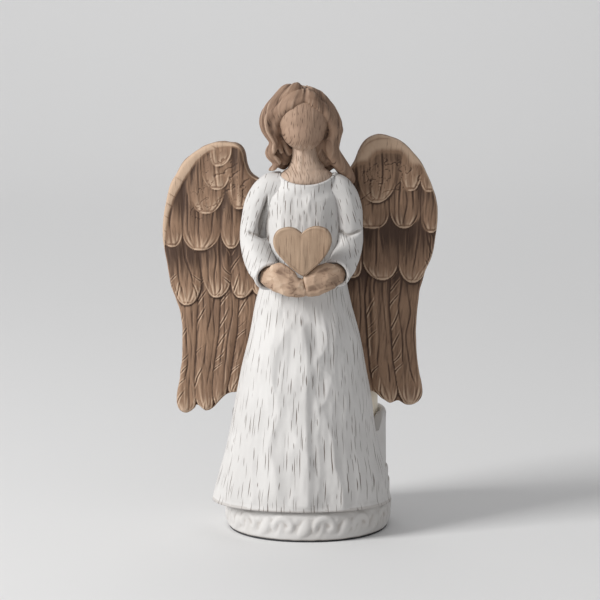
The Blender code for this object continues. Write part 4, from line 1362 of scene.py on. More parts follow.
@dataclass
class DressForm:
    """Flared skirt and bodice in one shell, open at the back round the cup."""

    sections: Rows = (
        (12.3, -38.2, 34.2, -41.0, -12.0, 2.0),
        (15.4, -37.7, 33.6, -40.8, -12.0, 2.0),
        (22.9, -35.7, 32.4, -40.0, -12.0, 2.0),
        (32.5, -33.0, 29.8, -38.6, -12.5, 1.6),
        (42.0, -30.9, 27.7, -37.4, -13.0, 1.0),
        (54.8, -28.5, 26.1, -36.0, -14.5, -1.0),
        (66.4, -26.2, 24.0, -35.0, -16.2, -3.2),
        (79.8, -22.8, 21.6, -34.0, -18.6, -6.2),
        (93.2, -20.2, 18.1, -33.0, -20.6, -8.6),
        (104.0, -17.4, 16.0, -32.4, -21.0, -8.6),
        (116.0, -16.2, 14.8, -32.0, -21.0, -8.6),
        (128.0, -16.4, 14.6, -31.6, -21.0, -8.6),
        (137.0, -16.2, 14.6, -31.2, -21.0, -8.6),
        (142.0, -15.0, 14.2, -30.8, -20.8, -9.0),
    )
    power: float = 2.1
    cup_axis: Point2 = (0.0, CUP_Y)
    front_steps: int = 236
    back_steps: int = 60
    row_step: float = 0.46
    waist: float = 125.0
    neck_rows: int = 42
    neck_centre: Point2 = (0.4, -20.2)
    neck_half: Point2 = (11.8, 10.6)
    ridges: tuple[tuple[Rows, float, float, float], ...] = (
        (((-0.3, 85.3), (1.0, 74.8), (1.0, 59.7), (0.4, 51.7), (1.0, 40.5), (1.7, 30.6),
          (1.7, 12.0)), 2.3, 9.0, 3.0),
        (((-4.2, 87.9), (-10.1, 76.7), (-12.7, 66.1), (-10.1, 55.6), (-10.1, 47.7),
          (-14.0, 38.4), (-11.4, 30.4), (-10.1, 17.1)), 1.2, 7.0, 3.0),
        (((7.4, 89.6), (9.0, 79.1), (4.8, 71.2), (7.7, 68.0), (10.7, 64.7), (8.7, 56.7),
          (6.1, 52.8)), 1.1, 3.2, 5.0),
        (((8.6, 50.0), (11.5, 37.3), (12.1, 30.7), (14.7, 22.1), (15.4, 13.0)), 1.3, 4.5, 3.0),
        (((9.0, 139.0), (8.0, 131.0), (7.4, 124.0), (9.4, 116.0)), 0.9, 6.0, 3.4),
    )

    # Lines of painted shade in the gaps between the bodice and the sleeves.
    shade_lines: tuple[Rows, ...] = (
        ((12.4, 136.6), (13.1, 133.6), (13.9, 127.9), (13.7, 118.6)),
        ((-15.2, 132.0), (-15.6, 119.0)),
    )

    def radius(self, z: np.ndarray) -> np.ndarray:
        """Radius left free round the cup and the lifted candle at each height."""
        keys = [0.0, 17.6, 17.9, 22.9, 23.2, 46.9, 47.2, 72.6, 76.0, 79.0, 82.0, 200.0]
        sizes = [33.35, 33.35, 32.75, 32.75, 31.85, 31.85, 29.25, 29.25, 27.2, 23.0, 12.0, 12.0]
        return np.interp(z, keys, sizes)

    def shell(self) -> tuple[np.ndarray, np.ndarray]:
        """Plain surface before carving.

        Returns:
            Points by row and column, and the share of the rolled neckline in each row.
        """
        table = np.array(self.sections, float)
        skirt = np.arange(SEAT_Z, self.waist, self.row_step)
        share = np.linspace(0.0, 1.0, self.neck_rows)
        base = np.concatenate([skirt, self.waist + 16.6 * share])
        rise = np.concatenate([np.zeros(len(skirt)), share])
        sizes = follow(table[:, 0], table[:, 1:], base)
        left, right, front, widest, back = [column[:, None] for column in sizes.T]
        middle, half = (left + right) / 2.0, (right - left) / 2.0
        angle = np.linspace(0.0, math.pi, self.front_steps)[None]
        behind = np.linspace(math.pi, 2.0 * math.pi, self.back_steps + 2)[None, 1:-1]

        def bow(value: np.ndarray) -> np.ndarray:
            """Superellipse share of a sine or cosine."""
            return np.sign(value) * np.abs(value) ** (2.0 / self.power)

        x = middle + half * bow(np.cos(angle))
        y = widest - (widest - front) * np.abs(bow(np.sin(angle)))
        back_x = middle + half * bow(np.cos(behind))
        back_y = widest + (back - widest) * np.abs(bow(np.sin(behind)))
        reach = self.radius(base)[:, None]
        away = np.clip(reach**2 - (back_x - self.cup_axis[0]) ** 2, 0.0, None)
        ring = np.where(away > 0.0, self.cup_axis[1] - np.sqrt(away), 1e6)
        back_y = np.minimum(back_y, ring)
        back_y = np.maximum(back_y, np.interp(base, [12, 150], [-39, -29])[:, None])
        all_x = np.hstack([x, back_x])
        all_y = np.hstack([y, back_y])
        turn = np.hstack([angle, behind])
        top = 144.2 - 4.4 * np.clip(np.sin(turn), 0, 1) ** 1.25 - 1.5 * np.clip(-np.sin(turn), 0, 1)
        z = base[:, None] + 0.0 * all_x
        lifted = self.waist + rise[:, None] * (top - self.waist)
        z = np.where(rise[:, None] > 0.0, lifted, z)
        toward = ramp(rise, 0.62, 1.0)[:, None]
        neck_x = self.neck_centre[0] + self.neck_half[0] * np.cos(turn)
        neck_y = self.neck_centre[1] - self.neck_half[1] * np.sin(turn)
        all_x = all_x * (1.0 - toward) + neck_x * toward
        all_y = all_y * (1.0 - toward) + neck_y * toward
        return np.stack([all_x, all_y, z], axis=2), rise

    def neckline(self, last: np.ndarray) -> np.ndarray:
        """Rolled edge and hidden inner face that follow the last row."""
        centre = np.array([*self.neck_centre, 0.0])
        inward = centre - last
        inward[:, 2] = 0.0
        inward /= np.linalg.norm(inward, axis=1)[:, None]
        rows = []
        for inset, rise in ((-0.1, 0.45), (0.2, 0.85), (0.7, 1.0), (1.2, 0.75), (1.5, 0.2),
                            (1.6, -0.8), (1.8, -2.6), (2.4, -5.5), (6.5, -7.0)):
            row = last + inward * inset
            row[:, 2] += rise
            rows.append(row)
        return np.array(rows)

    def carve(self, points: np.ndarray, rise: np.ndarray) -> tuple[np.ndarray, np.ndarray]:
        """Depth of the carving and the map that the strokes follow.

        Args:
            points: plain surface by row and column.
            rise: share of the neckline in each row.

        Returns:
            Offsets along the normal and the (across, up) map in millimetres.
        """
        x, z = points[..., 0], points[..., 2]
        step = np.linalg.norm(np.diff(points, axis=1, append=points[:, :1]), axis=2)
        length = np.cumsum(step, axis=1)
        middle = self.front_steps // 2
        across = length - length[:, middle:middle + 1]
        whole = length[:, self.front_steps - 1:self.front_steps]
        scale = (0.45 * whole + 0.55 * 78.0) / whole
        upper = ramp(z, 99.0, 109.0)
        even = across * scale * (1.0 - upper) + 1.12 * x * upper
        facet = across * (0.75 * whole + 0.25 * 78.0) / whole
        relief = -0.92 * (1.0 - gouges(facet + 50.0, z, 8.6, 19.0, 12))
        relief += 0.42 * (gouges(facet + 50.0, z, 5.2, 9.5, 29) - 0.4)
        relief += 0.12 * noise(even / 1.6, z / 6.0, even * 0.0, 8)
        for rows, height, wide_left, wide_right in self.ridges:
            line = flowing(rows, 8 * len(rows))
            signed = beside_line(x, z, line)
            wide = np.where(signed > 0.0, wide_right, wide_left)
            along = ramp(z, line[:, 1].min() - 6.0, line[:, 1].min() + 3.0)
            along *= ramp(z, line[:, 1].max() + 6.0, line[:, 1].max() - 6.0)
            relief += height * along * np.exp(-np.abs(signed / wide) ** 1.35)
        column = np.arange(points.shape[1])[None]
        inside = ramp(column, -1.0, 26.0) * ramp(column, self.front_steps, self.front_steps - 27.0)
        inside = np.where(column < self.front_steps, 0.25 + 0.75 * inside, 0.12)
        fade = ramp(z, SEAT_Z, 15.0) * 0.8 + 0.2
        fade = fade * (1.0 - 0.85 * ramp(rise, 0.72, 0.97)[:, None])
        drawn_out = np.clip(z - 104.0, 0.0, None) * 0.75
        return relief * inside * fade, np.stack([even, z + drawn_out], axis=2)

    def build(self) -> bpy.types.Object:
        """Make the carved dress.

        Returns:
            The finished object.
        """
        plain, rise = self.shell()
        relief, chart = self.carve(plain, rise)
        right = np.roll(plain, -1, axis=1) - np.roll(plain, 1, axis=1)
        up = np.gradient(plain, axis=0)
        normal = np.cross(right, up)
        normal /= np.maximum(np.linalg.norm(normal, axis=2), 1e-9)[..., None]
        middle = self.front_steps // 2
        if normal[60, middle, 1] > 0.0:
            normal = -normal
        carved = plain + normal * relief[..., None]
        roll = self.neckline(carved[-1])
        points = np.concatenate([carved, roll])
        rows, columns = points.shape[:2]
        faces = capped_faces(rows, columns)
        made = new_object("dress_carved", points.reshape(-1, 3), faces)
        extra = np.repeat(chart[-1:], len(roll), axis=0)
        chart = np.concatenate([chart, extra])
        flat = np.column_stack([chart.reshape(-1, 2), np.zeros(rows * columns)])
        set_field(made, "grain", flat)
        depth = np.concatenate([relief, np.zeros(roll.shape[:2])]).ravel()
        hollow = eased(made, depth, 12) - depth
        hollow = np.clip(hollow / 0.5, -1.0, 1.0)
        front = (points[..., 1] < -18.0).ravel()
        # Painted shade along the gaps between the bodice and the sleeves, on the front.
        for shade_line in self.shade_lines:
            away, _ = near_line(points[..., 0].ravel(), points[..., 2].ravel(), np.array(shade_line))
            hollow = np.maximum(hollow, front * 1.6 * np.exp(-((away / 0.75) ** 2)))
        # Painted shade on the lowest strip of the dress, just above the hem.
        low = points[..., 2].ravel() < 13.2
        set_field(made, "hollow", np.where(low, 0.5, np.clip(hollow, -1.0, 1.0)))
        return made


@dataclass
class SleeveForm:
    """One full sleeve with a bent elbow and an open turned-back cuff."""

    side: Side
    path: Rows
    recess: tuple[Point2, Point2, Point2] | None = None
    crease: Rows | None = None
    steps: int = 120
    rows: int = 190
    wall: float = 1.5

    def build(self) -> bpy.types.Object:
        """Make the carved sleeve.

        Returns:
            The finished object.
        """
        path = flowing(self.path, self.rows)
        centres, radius = path[:, :3], path[:, 3]
        along = np.gradient(centres, axis=0)
        along /= np.linalg.norm(along, axis=1)[:, None]
        side = np.array([1.0, 0.0, 0.0]) - along * along[:, :1]
        side /= np.linalg.norm(side, axis=1)[:, None]
        up = np.cross(along, side)
        angle = np.linspace(0.0, 2.0 * math.pi, self.steps, endpoint=False)
        out = (side[:, None] * np.cos(angle)[None, :, None]
               + up[:, None] * np.sin(angle)[None, :, None])
        start = np.sqrt(np.clip((np.arange(self.rows) + 1.0) / 14.0, 0.05, 1.0))
        plain = centres[:, None] + out * (radius * start)[:, None, None]
        travelled = np.concatenate([[0.0], np.cumsum(np.linalg.norm(np.diff(centres, axis=0), axis=1))])
        u = angle[None] * 6.6 + 0.0 * travelled[:, None]
        v = travelled[:, None] + 0.0 * u
        x, z = plain[..., 0], plain[..., 2]
        face = -out[..., 1]
        seed = 40 if self.side is Side.RIGHT else 60
        relief = -0.62 * (1.0 - gouges(u, v, 6.9, 13.0, seed))
        relief += 0.14 * noise(u / 1.8, v / 5.0, u * 0.0, seed + 1)
        if self.recess is not None:
            inward = np.clip((np.abs(x) - 14.4) / 7.0, 0.0, 1.0)
            relief -= 5.0 * (1.0 - inward) * self.in_recess(x, z) * ramp(face, -0.1, 0.3)
        if self.crease is not None:
            line = flowing(self.crease, 24)
            distance, _ = near_line(x, z, line)
            front = ramp(face, 0.0, 0.35)
            relief -= 1.1 * front * np.exp(-((distance / 0.7) ** 2))
            above = beside_line(x, z, line) * self.side.value
            relief += 0.5 * front * np.exp(-(((above + 1.6) / 1.3) ** 2))
        relief *= ramp(v, travelled[-1], travelled[-1] - 3.0) * 0.85 + 0.15
        carved = plain + out * relief[..., None]
        rows = list(carved)
        end, forward = centres[-1], along[-1]
        for inset, push in ((0.15, 0.35), (0.5, 0.6), (1.0, 0.55), (1.35, 0.2), (self.wall, -0.5),
                            (self.wall + 0.1, -1.8), (self.wall + 0.4, -3.6), (self.wall + 1.6, -4.6),
                            (5.4, -4.8)):
            rows.append(end + forward * push + out[-1] * (radius[-1] - inset))
        points = np.array(rows)
        count = points.shape[0]
        faces = capped_faces(count, self.steps)
        made = new_object(self.side.label + "_sleeve_carved", points.reshape(-1, 3), faces)
        self.map_strokes(made, points, relief, count)
        return made

    def in_recess(self, x: np.ndarray, z: np.ndarray) -> np.ndarray:
        """1 inside the three-cornered fold, soft at its sides and sharp below."""
        a, b, c = [np.array(corner, float) for corner in self.recess]
        middle = (a + b + c) / 3.0
        shares = []
        for start, end, soft in ((a, b, 3.0), (b, c, 0.5), (c, a, 0.4)):
            step = end - start
            normal = np.array([-step[1], step[0]]) / np.linalg.norm(step)
            inside = (x - start[0]) * normal[0] + (z - start[1]) * normal[1]
            if (middle - start) @ normal < 0.0:
                inside = -inside
            shares.append(ramp(inside, -0.1, soft))
        return shares[0] * shares[1] * shares[2]

    def map_strokes(self, made: bpy.types.Object, points: np.ndarray, relief: np.ndarray,
                    count: int) -> None:
        """Store the stroke map, the hollows and the painted shade in the cuff and the elbow crease.

        Args:
            made: sleeve object.
            points: its points by row and column.
            relief: carving depth of the outer rows.
            count: number of rows.
        """
        x, z = points[..., 0], points[..., 2]
        slant = 0.28 * (z - 125.0) * self.side.value
        chart = np.stack([(x + slant) * 1.2, z * 1.8, 0.0 * z], axis=2).reshape(-1, 3)
        set_field(made, "grain", chart)
        depth = np.zeros(points.shape[:2])
        depth[:relief.shape[0]] = relief
        hollow = eased(made, depth.ravel(), 14) - depth.ravel()
        hollow = np.clip(hollow / 0.5, -1.0, 1.0)
        # Painted shade inside the open cuff.
        inner = np.zeros(points.shape[:2])
        inner[count - 5:] = 1.0
        hollow = np.maximum(hollow, inner.ravel() * 0.45)
        # Painted shade along the elbow crease, on the front of the sleeve.
        away, _ = near_line(x.ravel(), z.ravel(), flowing(self.crease, 24))
        fold = 1.3 * np.exp(-((away / 0.42) ** 2)) * (points[..., 1].ravel() < -22.5)
        set_field(made, "hollow", np.clip(np.maximum(hollow, fold), -1.0, 1.0))


RIGHT_SLEEVE = SleeveForm(
    Side.RIGHT,
    ((-6.8, -19.8, 139.2, 6.6), (-13.6, -20.0, 137.9, 7.2), (-18.2, -20.6, 131.6, 6.7),
     (-20.3, -21.2, 121.0, 6.1), (-18.9, -24.6, 113.6, 6.3), (-16.4, -31.0, 108.2, 6.3),
     (-13.6, -37.6, 105.6, 6.0)),
    recess=((-14.6, 138.0), (-21.6, 121.4), (-13.6, 119.2)),
    crease=((-21.8, 121.5), (-18.0, 120.3), (-13.6, 118.9)))

LEFT_SLEEVE = SleeveForm(
    Side.LEFT,
    ((6.4, -19.8, 138.8, 6.4), (12.4, -20.0, 137.4, 7.0), (16.1, -20.6, 131.4, 6.4),
     (17.3, -21.2, 120.8, 5.8), (16.6, -24.6, 114.4, 6.0), (14.8, -31.0, 109.4, 6.1),
     (12.6, -37.6, 107.0, 5.9)),
    crease=((13.6, 122.0), (17.0, 120.9), (21.4, 122.3)))


# ---------------------------------------------------------------- head, hair, hands, heart


@dataclass
class HeadForm:
    """Smooth blank head on its neck, with the bare top of the chest."""

    voxel: float = 0.42

    def build(self) -> bpy.types.Object:
        """Make the head.

        Returns:
            The finished object.
        """
        clay = Clay()
        clay.egg((-0.8, -21.8, 167.6), (11.4, 11.8, 10.6))
        clay.egg((-0.8, -23.8, 162.2), (8.9, 9.2, 8.4))
        clay.egg((-0.9, -23.6, 160.0), (6.4, 6.6, 4.6))
        clay.limb(((-0.6, -18.8, 160.0, 5.3), (-0.5, -19.6, 154.0, 5.1), (-0.3, -20.0, 149.6, 5.9),
                   (0.0, -20.0, 146.0, 8.4)), steps=32)
        clay.egg((0.3, -20.2, 142.6), (11.2, 10.0, 5.4))
        made = clay.skin("head_blank", self.voxel, 12)
        points = points_of(made)
        normals = normals_of(made)
        x, y, z = points.T
        relief = -0.16 * (1.0 - gouges(x * 1.2 + y * 0.5, z, 4.2, 9.0, 71))
        relief += 0.07 * noise(x / 0.7, z / 6.0, y / 4.0, 72)
        neck = ramp(z, 158.0, 150.0) * ramp(-normals[:, 1], 0.1, 0.6)
        relief += 0.5 * neck * np.exp(-(((x + 2.4) / 1.2) ** 2)) * ramp(z, 145.0, 149.0)
        set_points(made, points + normals * relief[:, None])
        set_field(made, "grain", np.column_stack([x + 0.4 * y, z, y]))
        throat = ramp(z, 158.0, 154.0) * 0.55
        hollow = np.clip((eased(made, relief, 6) - relief) / 0.12, -1, 1) * 0.6 - throat
        set_field(made, "hollow", np.clip(hollow, -1.0, 1.0))
        return made


@dataclass
class HairForm:
    """Parted wavy hair: a cap, side locks and long back locks in one skin."""

    voxel: float = 0.4
    locks: tuple[Rows, ...] = (
        ((-0.6, -24.0, 177.8, 3.0), (-6.4, -25.4, 176.4, 3.8), (-11.0, -24.6, 172.2, 3.5),
         (-14.9, -23.4, 167.4, 3.2), (-15.4, -22.6, 162.8, 2.8), (-12.2, -23.0, 156.9, 2.3),
         (-14.0, -22.6, 152.6, 2.4), (-11.6, -22.0, 148.6, 1.8), (-15.0, -21.0, 145.4, 1.1)),
        ((0.4, -24.0, 177.0, 3.0), (4.2, -25.0, 174.8, 3.4), (7.8, -24.0, 170.8, 3.3),
         (11.0, -22.6, 165.6, 3.1), (12.2, -21.4, 161.4, 3.0), (9.8, -21.0, 156.5, 3.4),
         (11.0, -19.5, 152.0, 3.2), (13.6, -18.0, 147.8, 3.0), (16.4, -16.0, 143.5, 2.6),
         (18.0, -13.5, 140.5, 1.8)),
    )
    ribbons: tuple[Rows, ...] = (
        ((2.4, -28.6, 177.0, 2.4), (-3.2, -30.4, 175.4, 2.3), (-8.4, -29.8, 171.8, 2.2),
         (-13.2, -28.2, 168.0, 2.0), (-14.4, -26.6, 163.0, 1.7), (-11.4, -26.2, 157.0, 1.5),
         (-13.4, -25.8, 152.6, 1.6), (-10.8, -24.6, 148.8, 1.4), (-14.2, -23.0, 145.4, 0.9)),
        ((0.6, -30.8, 175.0, 1.6), (-5.0, -31.4, 172.6, 2.0), (-9.8, -29.2, 168.6, 2.2),
         (-12.0, -26.4, 163.0, 2.0), (-10.9, -24.6, 157.2, 1.5), (-9.6, -23.6, 152.4, 1.2)),
        ((0.0, -30.8, 175.0, 1.5), (4.4, -31.0, 172.6, 1.9), (8.4, -28.8, 168.6, 2.0),
         (11.0, -25.8, 163.0, 1.9), (10.0, -23.8, 157.4, 1.7), (10.0, -22.6, 151.6, 1.6)),
        ((-2.0, -28.6, 176.8, 2.4), (2.8, -30.2, 175.2, 2.2), (6.6, -29.2, 171.6, 2.1),
         (10.0, -27.2, 166.8, 2.0), (11.6, -25.6, 161.8, 1.9), (9.6, -24.2, 156.6, 1.8),
         (10.2, -22.8, 152.4, 1.8), (12.6, -21.0, 148.6, 1.8), (15.6, -18.8, 145.4, 1.6)),
    )
    inner: tuple[Rows, ...] = (
        ((-11.0, -25.0, 171.0, 2.8), (-13.0, -24.2, 164.5, 2.8), (-12.2, -23.0, 158.5, 2.2)),
        ((8.6, -24.2, 170.0, 2.6), (11.4, -23.0, 164.0, 2.6), (10.6, -22.0, 158.5, 2.2)),
        ((-9.0, -20.0, 160.0, 4.0), (-8.6, -18.5, 154.0, 4.0), (-9.5, -17.5, 149.5, 3.5),
         (-11.0, -17.0, 146.5, 2.5)),
        ((7.0, -20.0, 160.0, 4.0), (5.5, -18.0, 154.5, 4.0), (7.0, -17.0, 150.0, 3.8),
         (10.5, -15.5, 146.8, 2.8)),
        ((-14.2, -18.0, 165.0, 2.5), (-11.6, -17.0, 157.4, 2.3), (-12.2, -16.0, 151.5, 2.4),
         (-11.4, -15.0, 146.8, 1.6)),
        ((11.0, -18.0, 165.0, 2.5), (9.8, -16.5, 157.4, 2.6), (10.8, -15.0, 151.5, 2.8),
         (14.6, -12.5, 146.0, 2.2)),
    )
    back: tuple[Rows, ...] = (
        ((-2.0, -10.0, 178.0, 2.4), (-9.0, -8.6, 171.0, 3.6), (-12.2, -9.0, 162.0, 3.8),
         (-11.4, -9.4, 154.0, 3.6), (-12.8, -10.0, 147.0, 2.4)),
        ((-1.4, -8.6, 178.0, 2.4), (-5.0, -6.6, 171.0, 3.8), (-6.6, -6.4, 161.0, 4.0),
         (-5.0, -7.0, 152.0, 3.8), (-7.0, -8.2, 146.0, 2.6)),
        ((-0.4, -8.2, 178.0, 2.4), (-0.2, -5.6, 171.0, 3.8), (0.8, -5.6, 161.0, 4.0),
         (-0.6, -6.4, 152.0, 4.0), (0.8, -7.8, 145.0, 2.6)),
        ((0.4, -9.0, 177.4, 2.4), (4.6, -6.8, 170.0, 3.8), (6.2, -6.4, 161.0, 4.0),
         (5.4, -7.0, 152.0, 3.8), (8.0, -8.0, 145.6, 2.8)),
        ((0.8, -11.0, 177.0, 2.4), (8.0, -9.6, 169.0, 3.6), (10.4, -9.6, 161.0, 3.8),
         (9.8, -9.8, 153.0, 3.4), (13.6, -10.4, 146.0, 2.6)),
    )

    def build(self) -> bpy.types.Object:
        """Make the hair.

        Returns:
            The finished object.
        """
        clay = Clay()
        clay.egg((-1.5, -17.6, 166.2), (12.8, 12.4, 12.9))
        clay.egg((-1.0, -13.0, 155.0), (9.6, 6.6, 10.0))
        clay.egg((0.0, -26.4, 175.4), (5.2, 4.4, 3.0))
        for rows in self.locks:
            clay.limb(rows, flat=1.15, count=44)
        for rows in self.ribbons:
            clay.limb(rows, flat=0.75, facing=(0.0, -1.0, 0.25), count=44)
        for rows in self.inner + self.back:
            clay.limb(rows, count=36)
        made = clay.skin("hair_carved", self.voxel, 3)
        points = points_of(made)
        normals = normals_of(made)
        x, y, z = points.T
        turn = np.arctan2(x + 1.2, -(y + 17.0)) * 11.0
        sway = 2.2 * noise(z / 9.0, x / 12.0, y / 12.0, 81)
        flow = turn + sway
        grooves = noise(flow / 1.15, z / 26.0, flow * 0.0, 82)
        fine = noise(flow / 0.55, z / 14.0, flow * 0.0, 83)
        relief = 0.55 * np.clip(grooves, -1.0, 0.35) + 0.18 * fine
        relief -= 0.25 * (1.0 - gouges(flow, z, 4.2, 11.0, 84))
        parting = np.exp(-(((x - 0.1) / 0.45) ** 2)) * ramp(z, 176.0, 178.5) * ramp(-y, 8.0, 14.0)
        relief -= 0.3 * parting
        carved = points + normals * relief[:, None]
        carved[:, 2] = np.minimum(carved[:, 2], 181.2)
        set_points(made, carved)
        set_field(made, "grain", np.column_stack([flow, z, np.zeros_like(z)]))
        hollow = (eased(made, relief, 9) - relief) / 0.24
        shape = np.einsum("ij,ij->i", normals, self.smoothed(made, points) - points)
        hollow += np.clip(shape / 0.60, -0.9, 0.6)
        set_field(made, "hollow", np.clip(hollow, -1.0, 1.0))
        return made

    def smoothed(self, thing: bpy.types.Object, points: np.ndarray) -> np.ndarray:
        """Points drawn towards their neighbours, which shows where the shape is hollow."""
        return np.column_stack([eased(thing, points[:, axis], 8) for axis in range(3)])


@dataclass
class HandForm:
    """One cupped hand: palm, thumb and fingers pressed together."""

    side: Side
    palm: Rows
    thumb: Rows
    fingers: tuple[Rows, ...]
    worn: float = 0.5
    voxel: float = 0.3

    def build(self) -> bpy.types.Object:
        """Make the hand.

        Returns:
            The finished object.
        """
        clay = Clay()
        clay.limb(self.palm, flat=0.66, count=30)
        clay.limb(self.thumb, flat=0.85, count=24)
        for rows in self.fingers:
            clay.limb(rows, flat=0.8, count=24)
        made = clay.skin(self.side.label + "_hand_carved", self.voxel, 3)
        points = points_of(made)
        normals = normals_of(made)
        x, y, z = points.T
        seed = 90 if self.side is Side.RIGHT else 95
        relief = -0.55 * (1.0 - gouges(x + 0.4 * z, z - 0.3 * x, 3.6, 3.2, seed))
        set_points(made, points + normals * relief[:, None])
        set_field(made, "grain", np.column_stack([x, z, y]))
        drawn = np.column_stack([eased(made, points[:, axis], 8) for axis in range(3)])
        shape = np.einsum("ij,ij->i", normals, drawn - points)
        hollow = (eased(made, relief, 8) - relief) / 0.3 + np.clip(shape / 0.25, -0.8, 1.2)
        cracks = noise(x / 2.1, z / 1.7, y / 3.0, seed + 2)
        patches = noise(x / 4.2, z / 3.4, y / 6.0, seed + 3)
        hollow += self.worn * np.exp(-((cracks / 0.05) ** 2)) + 0.65 * patches
        set_field(made, "hollow", np.clip(hollow, -1.0, 1.0))
        return made


RIGHT_HAND = HandForm(
    Side.RIGHT,
    palm=((-16.4, -35.2, 106.0, 3.6), (-13.2, -38.8, 105.4, 4.8), (-9.0, -41.8, 104.6, 5.6),
          (-5.6, -43.2, 103.0, 4.8), (-2.2, -43.8, 102.0, 4.4), (1.0, -43.6, 101.8, 4.0)),
    thumb=((-13.0, -40.0, 107.6, 2.2), (-9.6, -42.6, 109.6, 2.4), (-6.2, -44.4, 108.6, 2.2),
           (-3.4, -45.0, 106.2, 1.9), (-2.0, -45.0, 103.6, 1.4)),
    fingers=(
        ((-12.0, -42.0, 103.2, 2.2), (-7.4, -44.2, 101.2, 2.5), (-3.0, -44.8, 100.4, 2.6),
         (1.8, -44.4, 100.4, 2.3)),
        ((-10.0, -42.8, 106.2, 2.2), (-6.2, -44.6, 104.0, 2.4), (-2.4, -45.0, 102.8, 2.3),
         (1.0, -44.8, 102.6, 1.9)),
    ))

LEFT_HAND = HandForm(
    Side.LEFT,
    palm=((15.4, -35.2, 107.4, 3.5), (12.8, -38.4, 106.8, 4.6), (9.4, -40.8, 105.6, 5.4),
          (4.6, -42.4, 103.4, 5.4), (-0.2, -43.0, 102.6, 4.9)),
    thumb=((12.4, -39.8, 109.0, 2.1), (9.0, -41.4, 109.6, 2.3), (5.2, -42.6, 108.2, 2.2),
           (1.9, -43.2, 105.2, 1.8)),
    fingers=(
        ((12.4, -41.2, 103.6, 2.3), (8.6, -43.0, 101.8, 2.3), (3.8, -43.8, 100.8, 2.7),
         (-0.8, -44.0, 100.6, 2.4)),
        ((11.4, -41.8, 106.2, 2.2), (8.0, -43.4, 104.6, 2.2), (4.6, -44.0, 103.2, 2.2),
         (1.0, -43.8, 102.8, 1.7)),
    ))


@dataclass
class HeartForm:
    """Flat carved heart with a bevelled edge."""

    outline: Rows = (
        (-0.4, 123.2), (1.5, 124.8), (4.0, 125.8), (6.7, 125.8), (9.3, 124.8), (10.9, 122.4),
        (11.1, 119.6), (9.9, 116.2), (6.9, 112.0), (3.4, 108.8), (0.2, 106.6), (-4.2, 109.4),
        (-7.4, 112.5), (-10.2, 115.8), (-11.4, 118.9), (-11.2, 122.0), (-9.5, 124.4),
        (-6.0, 125.5), (-3.0, 125.0))
    plane: float = -43.4
    centre: Point2 = (-0.2, 117.6)
    rim_row: int = 9
    rows: tuple[Point2, ...] = (
        (0.05, 2.6), (0.30, 2.7), (0.60, 2.7), (0.86, 2.7), (0.93, 2.6), (0.975, 2.2),
        (1.0, 1.5), (1.005, 0.4), (1.005, -0.9), (0.995, -1.6), (0.965, -2.1), (0.93, -2.35),
        (0.90, -2.42), (0.87, -2.44), (0.82, -2.50), (0.74, -2.55), (0.66, -2.66),
        (0.58, -2.74), (0.50, -2.8), (0.42, -2.86), (0.34, -2.9), (0.26, -2.93),
        (0.18, -2.95), (0.10, -2.96), (0.04, -2.97))

    def build(self) -> bpy.types.Object:
        """Make the heart.

        Returns:
            The finished object.
        """
        line = flowing(self.outline + self.outline[:1], 241)[:-1]
        centre = np.array(self.centre)
        rings = []
        for share, depth in self.rows:
            ring = centre + (line - centre) * share
            rings.append(np.column_stack([ring[:, 0], np.full(len(ring), depth), ring[:, 1]]))
        points = np.array(rings)
        x, z = points[..., 0], points[..., 2]
        relief = -0.24 * (1.0 - gouges(x, z, 4.6, 11.0, 51)) + 0.10 * noise(x / 0.8, z / 7.0, x * 0, 52)
        shares = np.array([share for share, _ in self.rows])
        ahead = np.arange(len(self.rows)) > self.rim_row
        front = ahead * ramp(shares, 1.0, 0.86)
        points[..., 1] -= relief * front[:, None]
        points[..., 1] += self.plane
        count, steps = points.shape[:2]
        made = new_object("heart_carved", points.reshape(-1, 3), capped_faces(count, steps))
        set_field(made, "grain", np.column_stack([x.ravel(), z.ravel(), 0.0 * z.ravel()]))
        groove = np.exp(-(((shares - 0.88) / 0.022) ** 2)) * ahead
        rim = np.exp(-(((shares - 0.96) / 0.02) ** 2)) * ahead
        # Painted highlight: the bevelled rim is lightened on the upper part of the heart only.
        upper = ramp(z, 114.0, 122.0)
        hollow = 0.30 * groove[:, None] - 0.75 * rim[:, None] * upper
        hollow = hollow * (0.7 + 0.5 * noise(x / 3.0, z / 3.0, x * 0.0, 53)) - relief * 0.9 - 0.15
        set_field(made, "hollow", np.clip(hollow, -1.0, 1.0).ravel())
        return made


# ---------------------------------------------------------------- stand, cup and candle


